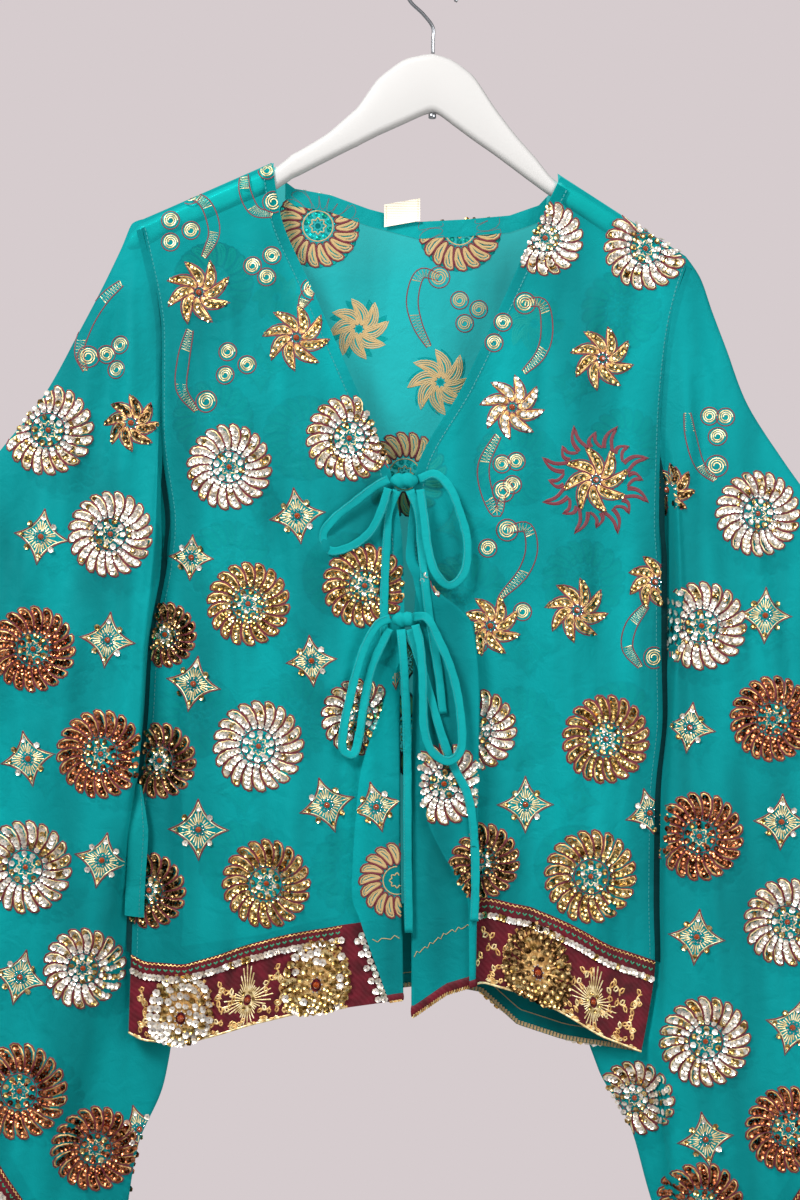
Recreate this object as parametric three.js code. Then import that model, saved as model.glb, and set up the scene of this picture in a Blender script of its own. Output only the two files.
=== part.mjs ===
import * as THREE from 'three';

// A sheer open-front sari blouse with wide bell sleeves, hanging on a flat wooden hanger.
// Millimetres. X runs across the garment, -Y is the open front and +Z is up.
// The origin is the inside top of the hanger's wire hook, where a rail carries it.

// Cloth and sewing
const CLOTH_WALL = 1.2;
const BORDER_WALL = 1.0;
const FACING_WALL = 0.8;
const SEAM_GAP = 0.3;
const HALF_SEAM = SEAM_GAP / 2;

// Hanger: cloth lies over its rounded top edge
const HANGER_THICKNESS = 12;
const OVER_RADIUS = 8;
const OVER_ANGLES = [90, 45, 0];

// Ribbon ties
const RIBBON_WIDTH = 7;
const RIBBON_THICKNESS = 1.4;

// Hook wire
const WIRE_RADIUS = 1.4;
const HOOK_INNER_RADIUS = 20;

// Front edge roll: length of cloth in each bend where an edge turns back on itself
const BEND_LENGTH = 6;
const BEND_STEPS = 4;

// Left front, from the shoulder to the hem. Side is the armhole and side seam, fold is the line
// where the centre edge turns outward, depth is how far each stands forward of the seam plane,
// flap is the width past the bend and turn its angle. hem is the share of the hem's own curve.
const FRONT_LEFT = [
  { name: 'shoulder', sideX: -226, sideZ: -210, sideDepth: 8, foldX: -133, foldZ: -170, foldDepth: 8,
    belly: 0, flap: 3, turn: 0, hem: 0, rows: 1 },
  { name: 'yoke', sideX: -221, sideZ: -231, sideDepth: 8, foldX: -127, foldZ: -204, foldDepth: 9,
    belly: 1, flap: 3, turn: 0, hem: 0, rows: 2 },
  { name: 'chest', sideX: -211, sideZ: -294, sideDepth: 6, foldX: -101, foldZ: -264, foldDepth: 13,
    belly: 4, flap: 3, turn: 0, hem: 0, rows: 3 },
  { name: 'bust', sideX: -212, sideZ: -367, sideDepth: 4, foldX: -72, foldZ: -330, foldDepth: 17,
    belly: 7, flap: 3, turn: 0, hem: 0, rows: 2 },
  { name: 'upper tie', sideX: -204, sideZ: -437, sideDepth: 2.4, foldX: -42, foldZ: -402, foldDepth: 20,
    belly: 8, flap: 3, turn: 0, hem: 0, rows: 1 },
  { name: 'underarm', sideX: -207, sideZ: -470, sideDepth: 1.4, foldX: -33, foldZ: -456, foldDepth: 21,
    belly: 8, flap: 3, turn: 0, hem: 0, rows: 2 },
  { name: 'lower tie', sideX: -219, sideZ: -538, sideDepth: 1.4, foldX: -31, foldZ: -514, foldDepth: 22,
    belly: 9, flap: 3, turn: 20, hem: 0, rows: 2 },
  { name: 'waist', sideX: -222, sideZ: -589, sideDepth: 1.4, foldX: -28, foldZ: -573, foldDepth: 22,
    belly: 9, flap: 12, turn: 150, hem: 0, rows: 2 },
  { name: 'hip', sideX: -228, sideZ: -655, sideDepth: 1.4, foldX: -27.5, foldZ: -636, foldDepth: 22,
    belly: 10, flap: 30, turn: 175, hem: 0, rows: 2 },
  { name: 'slit top', sideX: -234, sideZ: -745, sideDepth: 1.4, foldX: -27, foldZ: -718, foldDepth: 21,
    belly: 10, flap: 36, turn: 176, hem: 0.3, rows: 1 },
  { name: 'border top', sideX: -235, sideZ: -775, sideDepth: 1.4, foldX: -26, foldZ: -743, foldDepth: 20,
    belly: 10, flap: 30, turn: 176, hem: 1, rows: 2 },
  { name: 'hem', sideX: -237, sideZ: -836, sideDepth: 1.4, foldX: -25, foldZ: -808, foldDepth: 19,
    belly: 9, flap: 9, turn: 176, hem: 1, rows: 0 },
];

// Right front: its centre edge makes a pleat, outward at the fold and back again at overX.
const FRONT_RIGHT = [
  { name: 'shoulder', sideX: 197, sideZ: -239, sideDepth: 8, foldX: 115, foldZ: -186, foldDepth: 8,
    belly: 0, pleat: 3, flap: 3, turn: 0, hem: 0, rows: 1 },
  { name: 'yoke', sideX: 190, sideZ: -260, sideDepth: 8, foldX: 99, foldZ: -216, foldDepth: 9,
    belly: 1, pleat: 3, flap: 3, turn: 0, hem: 0, rows: 2 },
  { name: 'chest', sideX: 182, sideZ: -300, sideDepth: 6, foldX: 74, foldZ: -268, foldDepth: 13,
    belly: 4, pleat: 3, flap: 3, turn: 0, hem: 0, rows: 3 },
  { name: 'bust', sideX: 177, sideZ: -367, sideDepth: 4, foldX: 41, foldZ: -337, foldDepth: 17,
    belly: 7, pleat: 3, flap: 3, turn: 0, hem: 0, rows: 2 },
  { name: 'upper tie', sideX: 176, sideZ: -437, sideDepth: 2.4, foldX: 5, foldZ: -402, foldDepth: 20,
    belly: 8, pleat: 3, flap: 3, turn: 0, hem: 0, rows: 1 },
  { name: 'underarm', sideX: 178, sideZ: -470, sideDepth: 1.4, foldX: -4, foldZ: -456, foldDepth: 21,
    belly: 8, pleat: 3, flap: 3, turn: 40, hem: 0, rows: 1 },
  { name: 'pleat top', sideX: 178, sideZ: -504, sideDepth: 1.4, foldX: -11, foldZ: -486, foldDepth: 21,
    belly: 8, pleat: 12, flap: 12, turn: 150, hem: 0, rows: 1 },
  { name: 'lower tie', sideX: 178, sideZ: -536, sideDepth: 1.4, foldX: -13, foldZ: -514, foldDepth: 21,
    belly: 9, pleat: 42, flap: 38, turn: 174, hem: 0, rows: 2 },
  { name: 'waist', sideX: 179, sideZ: -589, sideDepth: 1.4, foldX: -14, foldZ: -573, foldDepth: 21,
    belly: 9, pleat: 48, flap: 44, turn: 175, hem: 0, rows: 2 },
  { name: 'hip', sideX: 173, sideZ: -655, sideDepth: 1.4, foldX: -15, foldZ: -647, foldDepth: 21,
    belly: 10, pleat: 48, flap: 42, turn: 175, hem: 0, rows: 2 },
  { name: 'slit top', sideX: 172, sideZ: -733, sideDepth: 1.4, foldX: -15, foldZ: -725, foldDepth: 20,
    belly: 10, pleat: 47, flap: 12, turn: 175, hem: 0.4, rows: 1 },
  { name: 'border top', sideX: 173, sideZ: -780, sideDepth: 1.4, foldX: -15, foldZ: -757, foldDepth: 19,
    belly: 10, pleat: 47, flap: 5, turn: 175, hem: 1, rows: 2 },
  { name: 'hem', sideX: 162, sideZ: -851, sideDepth: 1.4, foldX: -15, foldZ: -821, foldDepth: 18,
    belly: 9, pleat: 46, flap: 3, turn: 175, hem: 1, rows: 0 },
];

// How far each hem hangs below the straight line between its corners.
const HEM_LEFT = [
  { across: 0, drop: 0 }, { across: 0.05, drop: 7 }, { across: 0.2, drop: 13 },
  { across: 0.33, drop: 9 }, { across: 0.45, drop: 4 }, { across: 0.6, drop: 0 }, { across: 1, drop: 0 },
];
const HEM_RIGHT = [
  { across: 0, drop: 0 }, { across: 0.18, drop: -8 }, { across: 0.35, drop: -22 },
  { across: 0.52, drop: -32 }, { across: 0.7, drop: -36 }, { across: 0.86, drop: -22 }, { across: 1, drop: 0 },
];
const HEM_BACK = [
  { across: 0, drop: 0 }, { across: 0.24, drop: -14 }, { across: 0.43, drop: -34 },
  { across: 0.6, drop: -45 }, { across: 0.69, drop: -40 }, { across: 0.76, drop: -16 },
  { across: 0.85, drop: -6 }, { across: 1, drop: 0 },
];

// Back: top edge over both shoulders and round the neck. over is the angle on the hanger's
// rounded edge at which the cloth begins, 90 at the shoulder seam and 0 below the hanger.
const BACK_TOP = [
  { x: -226, z: -202, over: 90 }, { x: -201, z: -191, over: 90 }, { x: -176, z: -180, over: 90 },
  { x: -151, z: -169, over: 90 }, { x: -126, z: -158, over: 90 }, { x: -124.5, z: -158, over: 45 },
  { x: -123, z: -158, over: 0 }, { x: -108, z: -169, over: 0 }, { x: -80, z: -174, over: 0 },
  { x: -50, z: -185, over: 0 }, { x: -12, z: -195, over: 0 }, { x: 26, z: -193, over: 0 },
  { x: 60, z: -190, over: 0 }, { x: 83, z: -182, over: 0 }, { x: 95, z: -169, over: 0 },
  { x: 98, z: -169, over: 45 }, { x: 100, z: -169, over: 90 }, { x: 124, z: -184, over: 90 },
  { x: 148, z: -200, over: 90 }, { x: 172, z: -215, over: 90 }, { x: 197, z: -231, over: 90 },
];
const BACK_BELLY = [
  { name: 'shoulder', belly: 0, hem: 0, rows: 1 }, { name: 'yoke', belly: 2, hem: 0, rows: 2 },
  { name: 'chest', belly: 7, hem: 0, rows: 3 }, { name: 'bust', belly: 12, hem: 0, rows: 2 },
  { name: 'upper tie', belly: 15, hem: 0, rows: 1 }, { name: 'underarm', belly: 16, hem: 0, rows: 2 },
  { name: 'lower tie', belly: 17, hem: 0, rows: 2 }, { name: 'waist', belly: 17, hem: 0, rows: 2 },
  { name: 'hip', belly: 17, hem: 0, rows: 2 }, { name: 'slit top', belly: 16, hem: 0.4, rows: 1 },
  { name: 'border top', belly: 15, hem: 1, rows: 2 }, { name: 'hem', belly: 14, hem: 1, rows: 0 },
];

// Sleeves, from the armhole to the cuff. outer is the top fold, lobe where the front layer stands
// forward beside the body, inner the underarm fold that passes behind the body. follow is the
// share of the armhole's curve, round the radius of the top fold, and the rest are Y depths.
const SLEEVE_LEFT = [
  { outerX: -228, outerZ: -202, lobeX: -212, lobeZ: -367, innerX: -207, innerZ: -470,
    follow: 1, round: 8, front: -8, lobe: -5, inner: 0, back: 8, rows: 1 },
  { outerX: -234, outerZ: -205, lobeX: -213, lobeZ: -402, innerX: -210.5, innerZ: -486,
    follow: 0.8, round: 8, front: -9, lobe: -13, inner: 5, back: 11, rows: 1 },
  { outerX: -243, outerZ: -225, lobeX: -214, lobeZ: -445, innerX: -206, innerZ: -522,
    follow: 0.5, round: 8, front: -11, lobe: -18, inner: 8, back: 14, rows: 1 },
  { outerX: -258, outerZ: -256, lobeX: -218, lobeZ: -491, innerX: -206, innerZ: -577,
    follow: 0.25, round: 7, front: -12, lobe: -20, inner: 11, back: 18, rows: 1 },
  { outerX: -277, outerZ: -292, lobeX: -223, lobeZ: -538, innerX: -200, innerZ: -628,
    follow: 0.1, round: 7, front: -13, lobe: -20, inner: 13, back: 22, rows: 1 },
  { outerX: -303, outerZ: -339, lobeX: -226, lobeZ: -593, innerX: -196, innerZ: -679,
    follow: 0, round: 6, front: -14, lobe: -20, inner: 14, back: 25, rows: 1 },
  { outerX: -338, outerZ: -383, lobeX: -235, lobeZ: -655, innerX: -196, innerZ: -733,
    follow: 0, round: 6, front: -14, lobe: -19, inner: 15, back: 27, rows: 2 },
  { outerX: -386, outerZ: -445, lobeX: -250, lobeZ: -725, innerX: -200, innerZ: -800,
    follow: 0, round: 6, front: -14, lobe: -17, inner: 15, back: 28, rows: 2 },
  { outerX: -430, outerZ: -515, lobeX: -266, lobeZ: -811, innerX: -211, innerZ: -876,
    follow: 0, round: 6, front: -13, lobe: -14, inner: 14, back: 29, rows: 2 },
  { outerX: -466, outerZ: -593, lobeX: -286, lobeZ: -878, innerX: -232, innerZ: -928,
    follow: 0, round: 6, front: -12, lobe: -11, inner: 13, back: 29, rows: 1 },
  { outerX: -483, outerZ: -630, lobeX: -300, lobeZ: -920, innerX: -243, innerZ: -994,
    follow: 0, round: 6, front: -12, lobe: -10, inner: 13, back: 29, rows: 1 },
  { outerX: -499, outerZ: -667, lobeX: -317, lobeZ: -967, innerX: -257, innerZ: -1067,
    follow: 0, round: 6, front: -12, lobe: -9, inner: 13, back: 29, rows: 2 },
  { outerX: -525, outerZ: -722, lobeX: -346, lobeZ: -1018, innerX: -282, innerZ: -1125,
    follow: 0, round: 6, front: -12, lobe: -9, inner: 13, back: 29, rows: 0 },
];
const SLEEVE_RIGHT = [
  { outerX: 197, outerZ: -231, lobeX: 177, lobeZ: -367, innerX: 178, innerZ: -468,
    follow: 1, round: 8, front: -8, lobe: -5, inner: 0, back: 8, rows: 1 },
  { outerX: 208, outerZ: -247, lobeX: 186, lobeZ: -405, innerX: 178.7, innerZ: -484,
    follow: 0.8, round: 8, front: -9, lobe: -12, inner: 5, back: 11, rows: 1 },
  { outerX: 218, outerZ: -275, lobeX: 189, lobeZ: -456, innerX: 172, innerZ: -522,
    follow: 0.5, round: 8, front: -11, lobe: -16, inner: 8, back: 14, rows: 1 },
  { outerX: 229, outerZ: -304, lobeX: 190, lobeZ: -507, innerX: 168, innerZ: -577,
    follow: 0.25, round: 7, front: -12, lobe: -16, inner: 11, back: 18, rows: 1 },
  { outerX: 243, outerZ: -342, lobeX: 187, lobeZ: -562, innerX: 158, innerZ: -628,
    follow: 0.1, round: 7, front: -13, lobe: -14, inner: 13, back: 22, rows: 1 },
  { outerX: 273, outerZ: -390, lobeX: 185, lobeZ: -616, innerX: 144, innerZ: -690,
    follow: 0, round: 6, front: -14, lobe: -13, inner: 14, back: 25, rows: 1 },
  { outerX: 303, outerZ: -431, lobeX: 182, lobeZ: -671, innerX: 130, innerZ: -753,
    follow: 0, round: 6, front: -14, lobe: -13, inner: 16, back: 28, rows: 2 },
  { outerX: 335, outerZ: -472, lobeX: 181, lobeZ: -733, innerX: 118, innerZ: -819,
    follow: 0, round: 6, front: -14, lobe: -13, inner: 17, back: 29, rows: 2 },
  { outerX: 378, outerZ: -542, lobeX: 181, lobeZ: -827, innerX: 130, innerZ: -866,
    follow: 0, round: 6, front: -13, lobe: -13, inner: 15, back: 29, rows: 2 },
  { outerX: 403, outerZ: -593, lobeX: 182, lobeZ: -878, innerX: 155, innerZ: -911,
    follow: 0, round: 6, front: -12, lobe: -11, inner: 13, back: 29, rows: 1 },
  { outerX: 423, outerZ: -640, lobeX: 188, lobeZ: -940, innerX: 171, innerZ: -967,
    follow: 0, round: 6, front: -12, lobe: -9, inner: 13, back: 29, rows: 1 },
  { outerX: 446, outerZ: -693, lobeX: 221, lobeZ: -1055, innerX: 208, innerZ: -1072,
    follow: 0, round: 6, front: -12, lobe: -8, inner: 13, back: 29, rows: 2 },
  { outerX: 472, outerZ: -749, lobeX: 240, lobeZ: -1117, innerX: 225, innerZ: -1139,
    follow: 0, round: 6, front: -12, lobe: -8, inner: 13, back: 29, rows: 0 },
];
const SLEEVE_ARC_STEPS = 2;
const SLEEVE_MIDDLE = 5;
const SLEEVE_LOBE = 8;
const SLEEVE_INNER = 11;
const SLEEVE_DROP_Y = 3;
const SLEEVE_EDGE = HALF_SEAM + CLOTH_WALL;
const BODY_CLEARANCE = 2.5;

// Soft folds: each runs from one point to the other, and height is how far it stands out.
const FOLDS_FRONT_LEFT = [
  { x1: -60, z1: -420, x2: -92, z2: -770, width: 11, height: 4 },
  { x1: -118, z1: -440, x2: -128, z2: -790, width: 13, height: -3.5 },
  { x1: -170, z1: -330, x2: -172, z2: -740, width: 12, height: 3.5 },
];
const FOLDS_FRONT_RIGHT = [
  { x1: 70, z1: -420, x2: 78, z2: -800, width: 12, height: -3.5 },
  { x1: 104, z1: -330, x2: 112, z2: -780, width: 12, height: 4 },
  { x1: 148, z1: -400, x2: 146, z2: -800, width: 11, height: -3 },
];
const FOLDS_BACK = [
  { x1: -150, z1: -300, x2: -160, z2: -780, width: 15, height: 4 },
  { x1: -88, z1: -360, x2: -96, z2: -800, width: 13, height: -4 },
  { x1: -20, z1: -300, x2: -24, z2: -790, width: 17, height: 5 },
  { x1: 52, z1: -380, x2: 60, z2: -780, width: 13, height: -4 },
  { x1: 112, z1: -310, x2: 118, z2: -790, width: 15, height: 4 },
];
const FOLDS_SLEEVE_LEFT = [
  { x1: -226, z1: -270, x2: -250, z2: -470, width: 9, height: 5 },
  { x1: -250, z1: -270, x2: -300, z2: -560, width: 11, height: -4 },
  { x1: -285, z1: -330, x2: -356, z2: -640, width: 13, height: 5 },
  { x1: -250, z1: -560, x2: -272, z2: -790, width: 11, height: 4 },
  { x1: -330, z1: -520, x2: -350, z2: -900, width: 14, height: -5 },
  { x1: -400, z1: -560, x2: -440, z2: -860, width: 15, height: 6 },
  { x1: -330, z1: -820, x2: -370, z2: -1060, width: 14, height: 6 },
];
const FOLDS_SLEEVE_RIGHT = [
  { x1: 204, z1: -280, x2: 214, z2: -520, width: 9, height: -5 },
  { x1: 222, z1: -310, x2: 240, z2: -640, width: 11, height: 5 },
  { x1: 262, z1: -400, x2: 300, z2: -760, width: 13, height: -5 },
  { x1: 300, z1: -460, x2: 345, z2: -840, width: 14, height: 6 },
  { x1: 215, z1: -700, x2: 232, z2: -980, width: 12, height: 4 },
  { x1: 380, z1: -580, x2: 400, z2: -860, width: 14, height: -5 },
  { x1: 270, z1: -860, x2: 290, z2: -1040, width: 14, height: 5 },
];

// Ribbon ties: a bow at each of two places on the front edge
const KNOTS = [
  { name: 'tie_upper_knot', x: -22.5, y: -26.4, z: -407, halfX: 11, halfY: 4.4, halfZ: 6.5 },
  { name: 'tie_lower_knot', x: -22, y: -31, z: -514, halfX: 10, halfY: 4.4, halfZ: 6.5 },
];
const RIBBONS = [
  { name: 'tie_upper_left_loop', steps: 18, path: [
    [-34.4, -27.2, -406], [-44, -27, -411], [-61, -27.5, -424], [-77, -27.9, -437], [-85, -26, -449],
    [-80, -25.8, -461], [-64, -26, -458], [-49, -26.4, -447], [-40, -27.2, -430], [-34.8, -27, -413]] },
  { name: 'tie_upper_right_loop', steps: 20, path: [
    [-11.1, -26.8, -406], [1, -27.9, -402], [12, -28.8, -412], [20, -29.4, -431], [26, -29.3, -455],
    [23, -31, -479], [12, -34.5, -488], [2, -37.2, -479], [-4, -35, -460], [-7, -31.8, -436],
    [-10.2, -28.4, -414]] },
  { name: 'tie_upper_left_tail', steps: 16, path: [
    [-28, -25.4, -414.6], [-34, -23.4, -430], [-36, -23.2, -455], [-38, -24.1, -500], [-38, -24.3, -530]] },
  { name: 'tie_upper_right_tail', steps: 16, path: [
    [-18, -26.6, -414.6], [-12, -28, -430], [-9.5, -30.4, -455], [-6.5, -37, -487], [-3, -35.5, -514],
    [4, -36, -556], [7, -36.1, -586]] },
  { name: 'tie_lower_left_loop', steps: 20, path: [
    [-33.1, -32, -513], [-42, -32.3, -517], [-51, -33.1, -531], [-58, -34.1, -550], [-64, -33.8, -574],
    [-69, -32.4, -598], [-69, -31.2, -615], [-62, -30.1, -618], [-57, -29.1, -603], [-54, -28.9, -583],
    [-47, -28.5, -550], [-33.6, -29.4, -521]] },
  { name: 'tie_lower_right_loop', steps: 22, path: [
    [-15, -35.6, -512], [-6, -41.6, -512], [4, -42.6, -530], [13, -43, -551], [20, -43.2, -583],
    [20, -42.9, -615], [11, -42.6, -622], [-1, -42.2, -615], [-7, -42, -598], [-8, -41.8, -577],
    [-8.5, -41.6, -553], [-10.5, -39, -532], [-14, -36.2, -518]] },
  { name: 'tie_lower_long_tail', steps: 16, path: [
    [-25, -33.8, -521.6], [-23.4, -36.6, -540], [-21, -32, -580], [-20, -28.6, -620], [-20, -28.4, -680],
    [-19, -27, -755]] },
  { name: 'tie_lower_right_tail', steps: 18, path: [
    [-18.5, -33, -521.6], [-11, -36.2, -545], [-2, -37.4, -575], [7, -38.3, -605], [16, -38.4, -628],
    [26, -37.8, -648], [31, -37, -680], [32, -36.5, -717], [31, -35.5, -745]] },
];

// Hanger outline
const HANGER = [
  { x: -239, top: -221, bottom: -224, half: 2 }, { x: -236, top: -214, bottom: -226, half: 5 },
  { x: -228, top: -205.5, bottom: -225, half: 6 }, { x: -212, top: -198.3, bottom: -217, half: 6 },
  { x: -175, top: -182, bottom: -201, half: 6 }, { x: -150, top: -171, bottom: -190, half: 6 },
  { x: -121, top: -160.5, bottom: -178, half: 6 }, { x: -110, top: -152, bottom: -171, half: 6 },
  { x: -83, top: -136, bottom: -157, half: 6 }, { x: -59, top: -115, bottom: -145, half: 6 },
  { x: -43, top: -92, bottom: -137, half: 6 }, { x: -23, top: -77, bottom: -128, half: 6 },
  { x: -4, top: -73, bottom: -119.3, half: 6 }, { x: 3, top: -73.5, bottom: -119.3, half: 6 },
  { x: 16, top: -78, bottom: -129, half: 6 }, { x: 32, top: -90, bottom: -141, half: 6 },
  { x: 48, top: -115, bottom: -152, half: 6 }, { x: 64, top: -136, bottom: -164, half: 6 },
  { x: 80, top: -154, bottom: -176, half: 6 }, { x: 94, top: -172, bottom: -186, half: 6 },
  { x: 104, top: -174.5, bottom: -192, half: 6 },
  { x: 138, top: -196, bottom: -215, half: 6 }, { x: 172, top: -217.5, bottom: -237, half: 6 },
  { x: 195, top: -232.5, bottom: -253, half: 6 }, { x: 202, top: -242, bottom: -256, half: 5 },
  { x: 205, top: -250, bottom: -254, half: 2 },
];
const HANGER_ARC_STEPS = 4;
const HOOK_STEM_X = 0;
const HOOK_STEM_BOTTOM = -73 + SEAM_GAP;
const NUT_RADIUS = 3;
const NUT_HEIGHT = 4;

const MATERIALS = {
  georgette: new THREE.MeshStandardMaterial({ color: 0x129a95, roughness: 0.75, metalness: 0 }),
  ribbon: new THREE.MeshStandardMaterial({ color: 0x14aba3, roughness: 0.7, metalness: 0 }),
  border: new THREE.MeshStandardMaterial({ color: 0x6e1425, roughness: 0.7, metalness: 0 }),
  label: new THREE.MeshStandardMaterial({ color: 0xd9d0bd, roughness: 0.8, metalness: 0 }),
  hanger: new THREE.MeshStandardMaterial({ color: 0xf2f0ee, roughness: 0.4, metalness: 0 }),
  wire: new THREE.MeshStandardMaterial({ color: 0x8a8c90, roughness: 0.3, metalness: 1 }),
};

const radians = (degrees) => (degrees * Math.PI) / 180;
const mix = (a, b, t) => a + (b - a) * t;
const ease = (t) => t * t * (3 - 2 * t);

// A smooth value between two table rows that never swings past them.
function smoothBetween(before, from, to, after, t) {
  const slope = (left, right) => (left * right > 0 ? (2 * left * right) / (left + right) : 0);
  const step = to - from;
  const m0 = slope(from - before, step);
  const m1 = slope(step, after - to);
  const t2 = t * t;
  const t3 = t2 * t;
  return (2 * t3 - 3 * t2 + 1) * from + (t3 - 2 * t2 + t) * m0 + (3 * t2 - 2 * t3) * to + (t3 - t2) * m1;
}

// One column of a section table, at every row of the finished cloth.
function spread(sections, column) {
  const values = [];
  sections.forEach((section, index) => {
    const next = sections[index + 1];
    const steps = next ? section.rows : 1;
    for (let step = 0; step < steps; step++) {
      const before = (sections[index - 1] ?? section)[column];
      const to = (next ?? section)[column];
      const after = (sections[index + 2] ?? next ?? section)[column];
      values.push(smoothBetween(before, section[column], to, after, step / steps));
    }
  });
  return values;
}

function spreadAll(sections) {
  const columns = Object.keys(sections[0]).filter((key) => key !== 'name' && key !== 'rows');
  const spreads = Object.fromEntries(columns.map((column) => [column, spread(sections, column)]));
  const count = spreads[columns[0]].length;
  return Array.from({ length: count }, (_, row) => (
    Object.fromEntries(columns.map((column) => [column, spreads[column][row]]))
  ));
}

// Linear reading of a table at a value of its first column.
function readTable(table, key, column, at) {
  const last = table.length - 1;
  const rising = table[last][key] > table[0][key];
  const index = table.findIndex((row) => (rising ? row[key] >= at : row[key] <= at));
  if (index === 0) return table[0][column];
  if (index < 0) return table[last][column];
  const low = table[index - 1];
  const high = table[index];
  return mix(low[column], high[column], (at - low[key]) / (high[key] - low[key]));
}

// Height of all soft folds at a place on the cloth.
function foldHeight(folds, x, z) {
  let height = 0;
  for (const fold of folds) {
    const runX = fold.x2 - fold.x1;
    const runZ = fold.z2 - fold.z1;
    const length = Math.hypot(runX, runZ);
    const along = ((x - fold.x1) * runX + (z - fold.z1) * runZ) / (length * length);
    if (along <= 0 || along >= 1) continue;
    const aside = ((x - fold.x1) * runZ - (z - fold.z1) * runX) / length;
    height += fold.height * Math.sin(Math.PI * along) * Math.exp(-((aside / fold.width) ** 2));
  }
  return height;
}

// Outward direction at each point of a grid. side is +1 or -1 and says which way is out.
function outwardAt(grid, row, column, side, closed) {
  const columns = grid[0].length;
  const up = grid[Math.max(row - 1, 0)][column];
  const down = grid[Math.min(row + 1, grid.length - 1)][column];
  const left = closed ? grid[row][(column - 1 + columns) % columns] : grid[row][Math.max(column - 1, 0)];
  const right = closed ? grid[row][(column + 1) % columns] : grid[row][Math.min(column + 1, columns - 1)];
  const downward = new THREE.Vector3().subVectors(down, up);
  const across = new THREE.Vector3().subVectors(right, left);
  return downward.cross(across).normalize().multiplyScalar(side);
}

// The grid moved outward by a distance, then held on its own side of the seam plane.
function moved(grid, side, distance, { closed = false, fit = (point) => point } = {}) {
  return grid.map((line, row) => line.map((point, column) => {
    const outward = outwardAt(grid, row, column, side, closed);
    return fit(point.clone().addScaledVector(outward, distance), point, row, column);
  }));
}

const part = (grid, rowFrom, rowTo, columnFrom, columnTo) => (
  grid.slice(rowFrom, rowTo + 1).map((line) => line.slice(columnFrom, columnTo + 1))
);

function meshFrom(name, points, triangles, material) {
  let volume = 0;
  const edge1 = new THREE.Vector3();
  for (const [a, b, c] of triangles) {
    volume += edge1.crossVectors(points[b], points[c]).dot(points[a]);
  }
  const ordered = volume > 0 ? triangles : triangles.map(([a, b, c]) => [a, c, b]);
  const geometry = new THREE.BufferGeometry();
  geometry.setAttribute('position', new THREE.Float32BufferAttribute(points.flatMap((p) => [p.x, p.y, p.z]), 3));
  geometry.setIndex(ordered.flat());
  geometry.computeVertexNormals();
  const mesh = new THREE.Mesh(geometry, material.clone());
  mesh.name = name;
  return mesh;
}

// A closed wall between an outer and an inner grid of the same size. The first rows of a mirrored layer
// have their faces split along the other diagonal, so two layers stay apart where they meet.
function wall(name, outer, inner, material, { closed = false, turnedRows = 0 } = {}) {
  const rows = outer.length;
  const columns = outer[0].length;
  const points = [...outer.flat(), ...inner.flat()];
  const outerAt = (row, column) => row * columns + (column % columns);
  const innerAt = (row, column) => rows * columns + outerAt(row, column);
  const triangles = [];
  const quad = (a, b, c, d) => triangles.push([a, b, c], [a, c, d]);
  const acrossCount = closed ? columns : columns - 1;
  for (let row = 0; row < rows - 1; row++) {
    for (let column = 0; column < acrossCount; column++) {
      for (const [at, inward] of [[outerAt, false], [innerAt, true]]) {
        const corners = [at(row, column), at(row + 1, column), at(row + 1, column + 1), at(row, column + 1)];
        if (row < turnedRows) corners.push(corners.shift());
        if (inward) corners.splice(1, 3, corners[3], corners[2], corners[1]);
        quad(...corners);
      }
    }
  }
  for (let column = 0; column < acrossCount; column++) {
    const last = rows - 1;
    quad(outerAt(0, column), outerAt(0, column + 1), innerAt(0, column + 1), innerAt(0, column));
    quad(outerAt(last, column + 1), outerAt(last, column), innerAt(last, column), innerAt(last, column + 1));
  }
  for (let row = 0; row < rows - 1 && !closed; row++) {
    const last = columns - 1;
    quad(outerAt(row + 1, 0), outerAt(row, 0), innerAt(row, 0), innerAt(row + 1, 0));
    quad(outerAt(row, last), outerAt(row + 1, last), innerAt(row + 1, last), innerAt(row, last));
  }
  return meshFrom(name, points, triangles, material);
}

// A rounded bar through closed rings, with a flat cap at each end.
function loft(name, rings, material) {
  const count = rings[0].length;
  const points = rings.flat();
  const triangles = [];
  for (let ring = 0; ring < rings.length - 1; ring++) {
    for (let i = 0; i < count; i++) {
      const a = ring * count + i;
      const b = ring * count + ((i + 1) % count);
      triangles.push([a, b, b + count], [a, b + count, a + count]);
    }
  }
  const lastRing = (rings.length - 1) * count;
  for (let i = 1; i < count - 1; i++) {
    triangles.push([0, i + 1, i], [lastRing, lastRing + i, lastRing + i + 1]);
  }
  return meshFrom(name, points, triangles, material);
}

// Where the cloth goes over the hanger: outline place and depth at an arc length from the seam.
const OVER_LENGTH = OVER_RADIUS * Math.PI / 2;
function overHanger(top, depth, arc) {
  if (arc >= OVER_LENGTH) return { y: depth, z: top - OVER_RADIUS - (arc - OVER_LENGTH) };
  const angle = Math.PI / 2 - arc / OVER_RADIUS;
  return { y: Math.max(HALF_SEAM, depth * Math.cos(angle)), z: top - OVER_RADIUS * (1 - Math.sin(angle)) };
}

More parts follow.
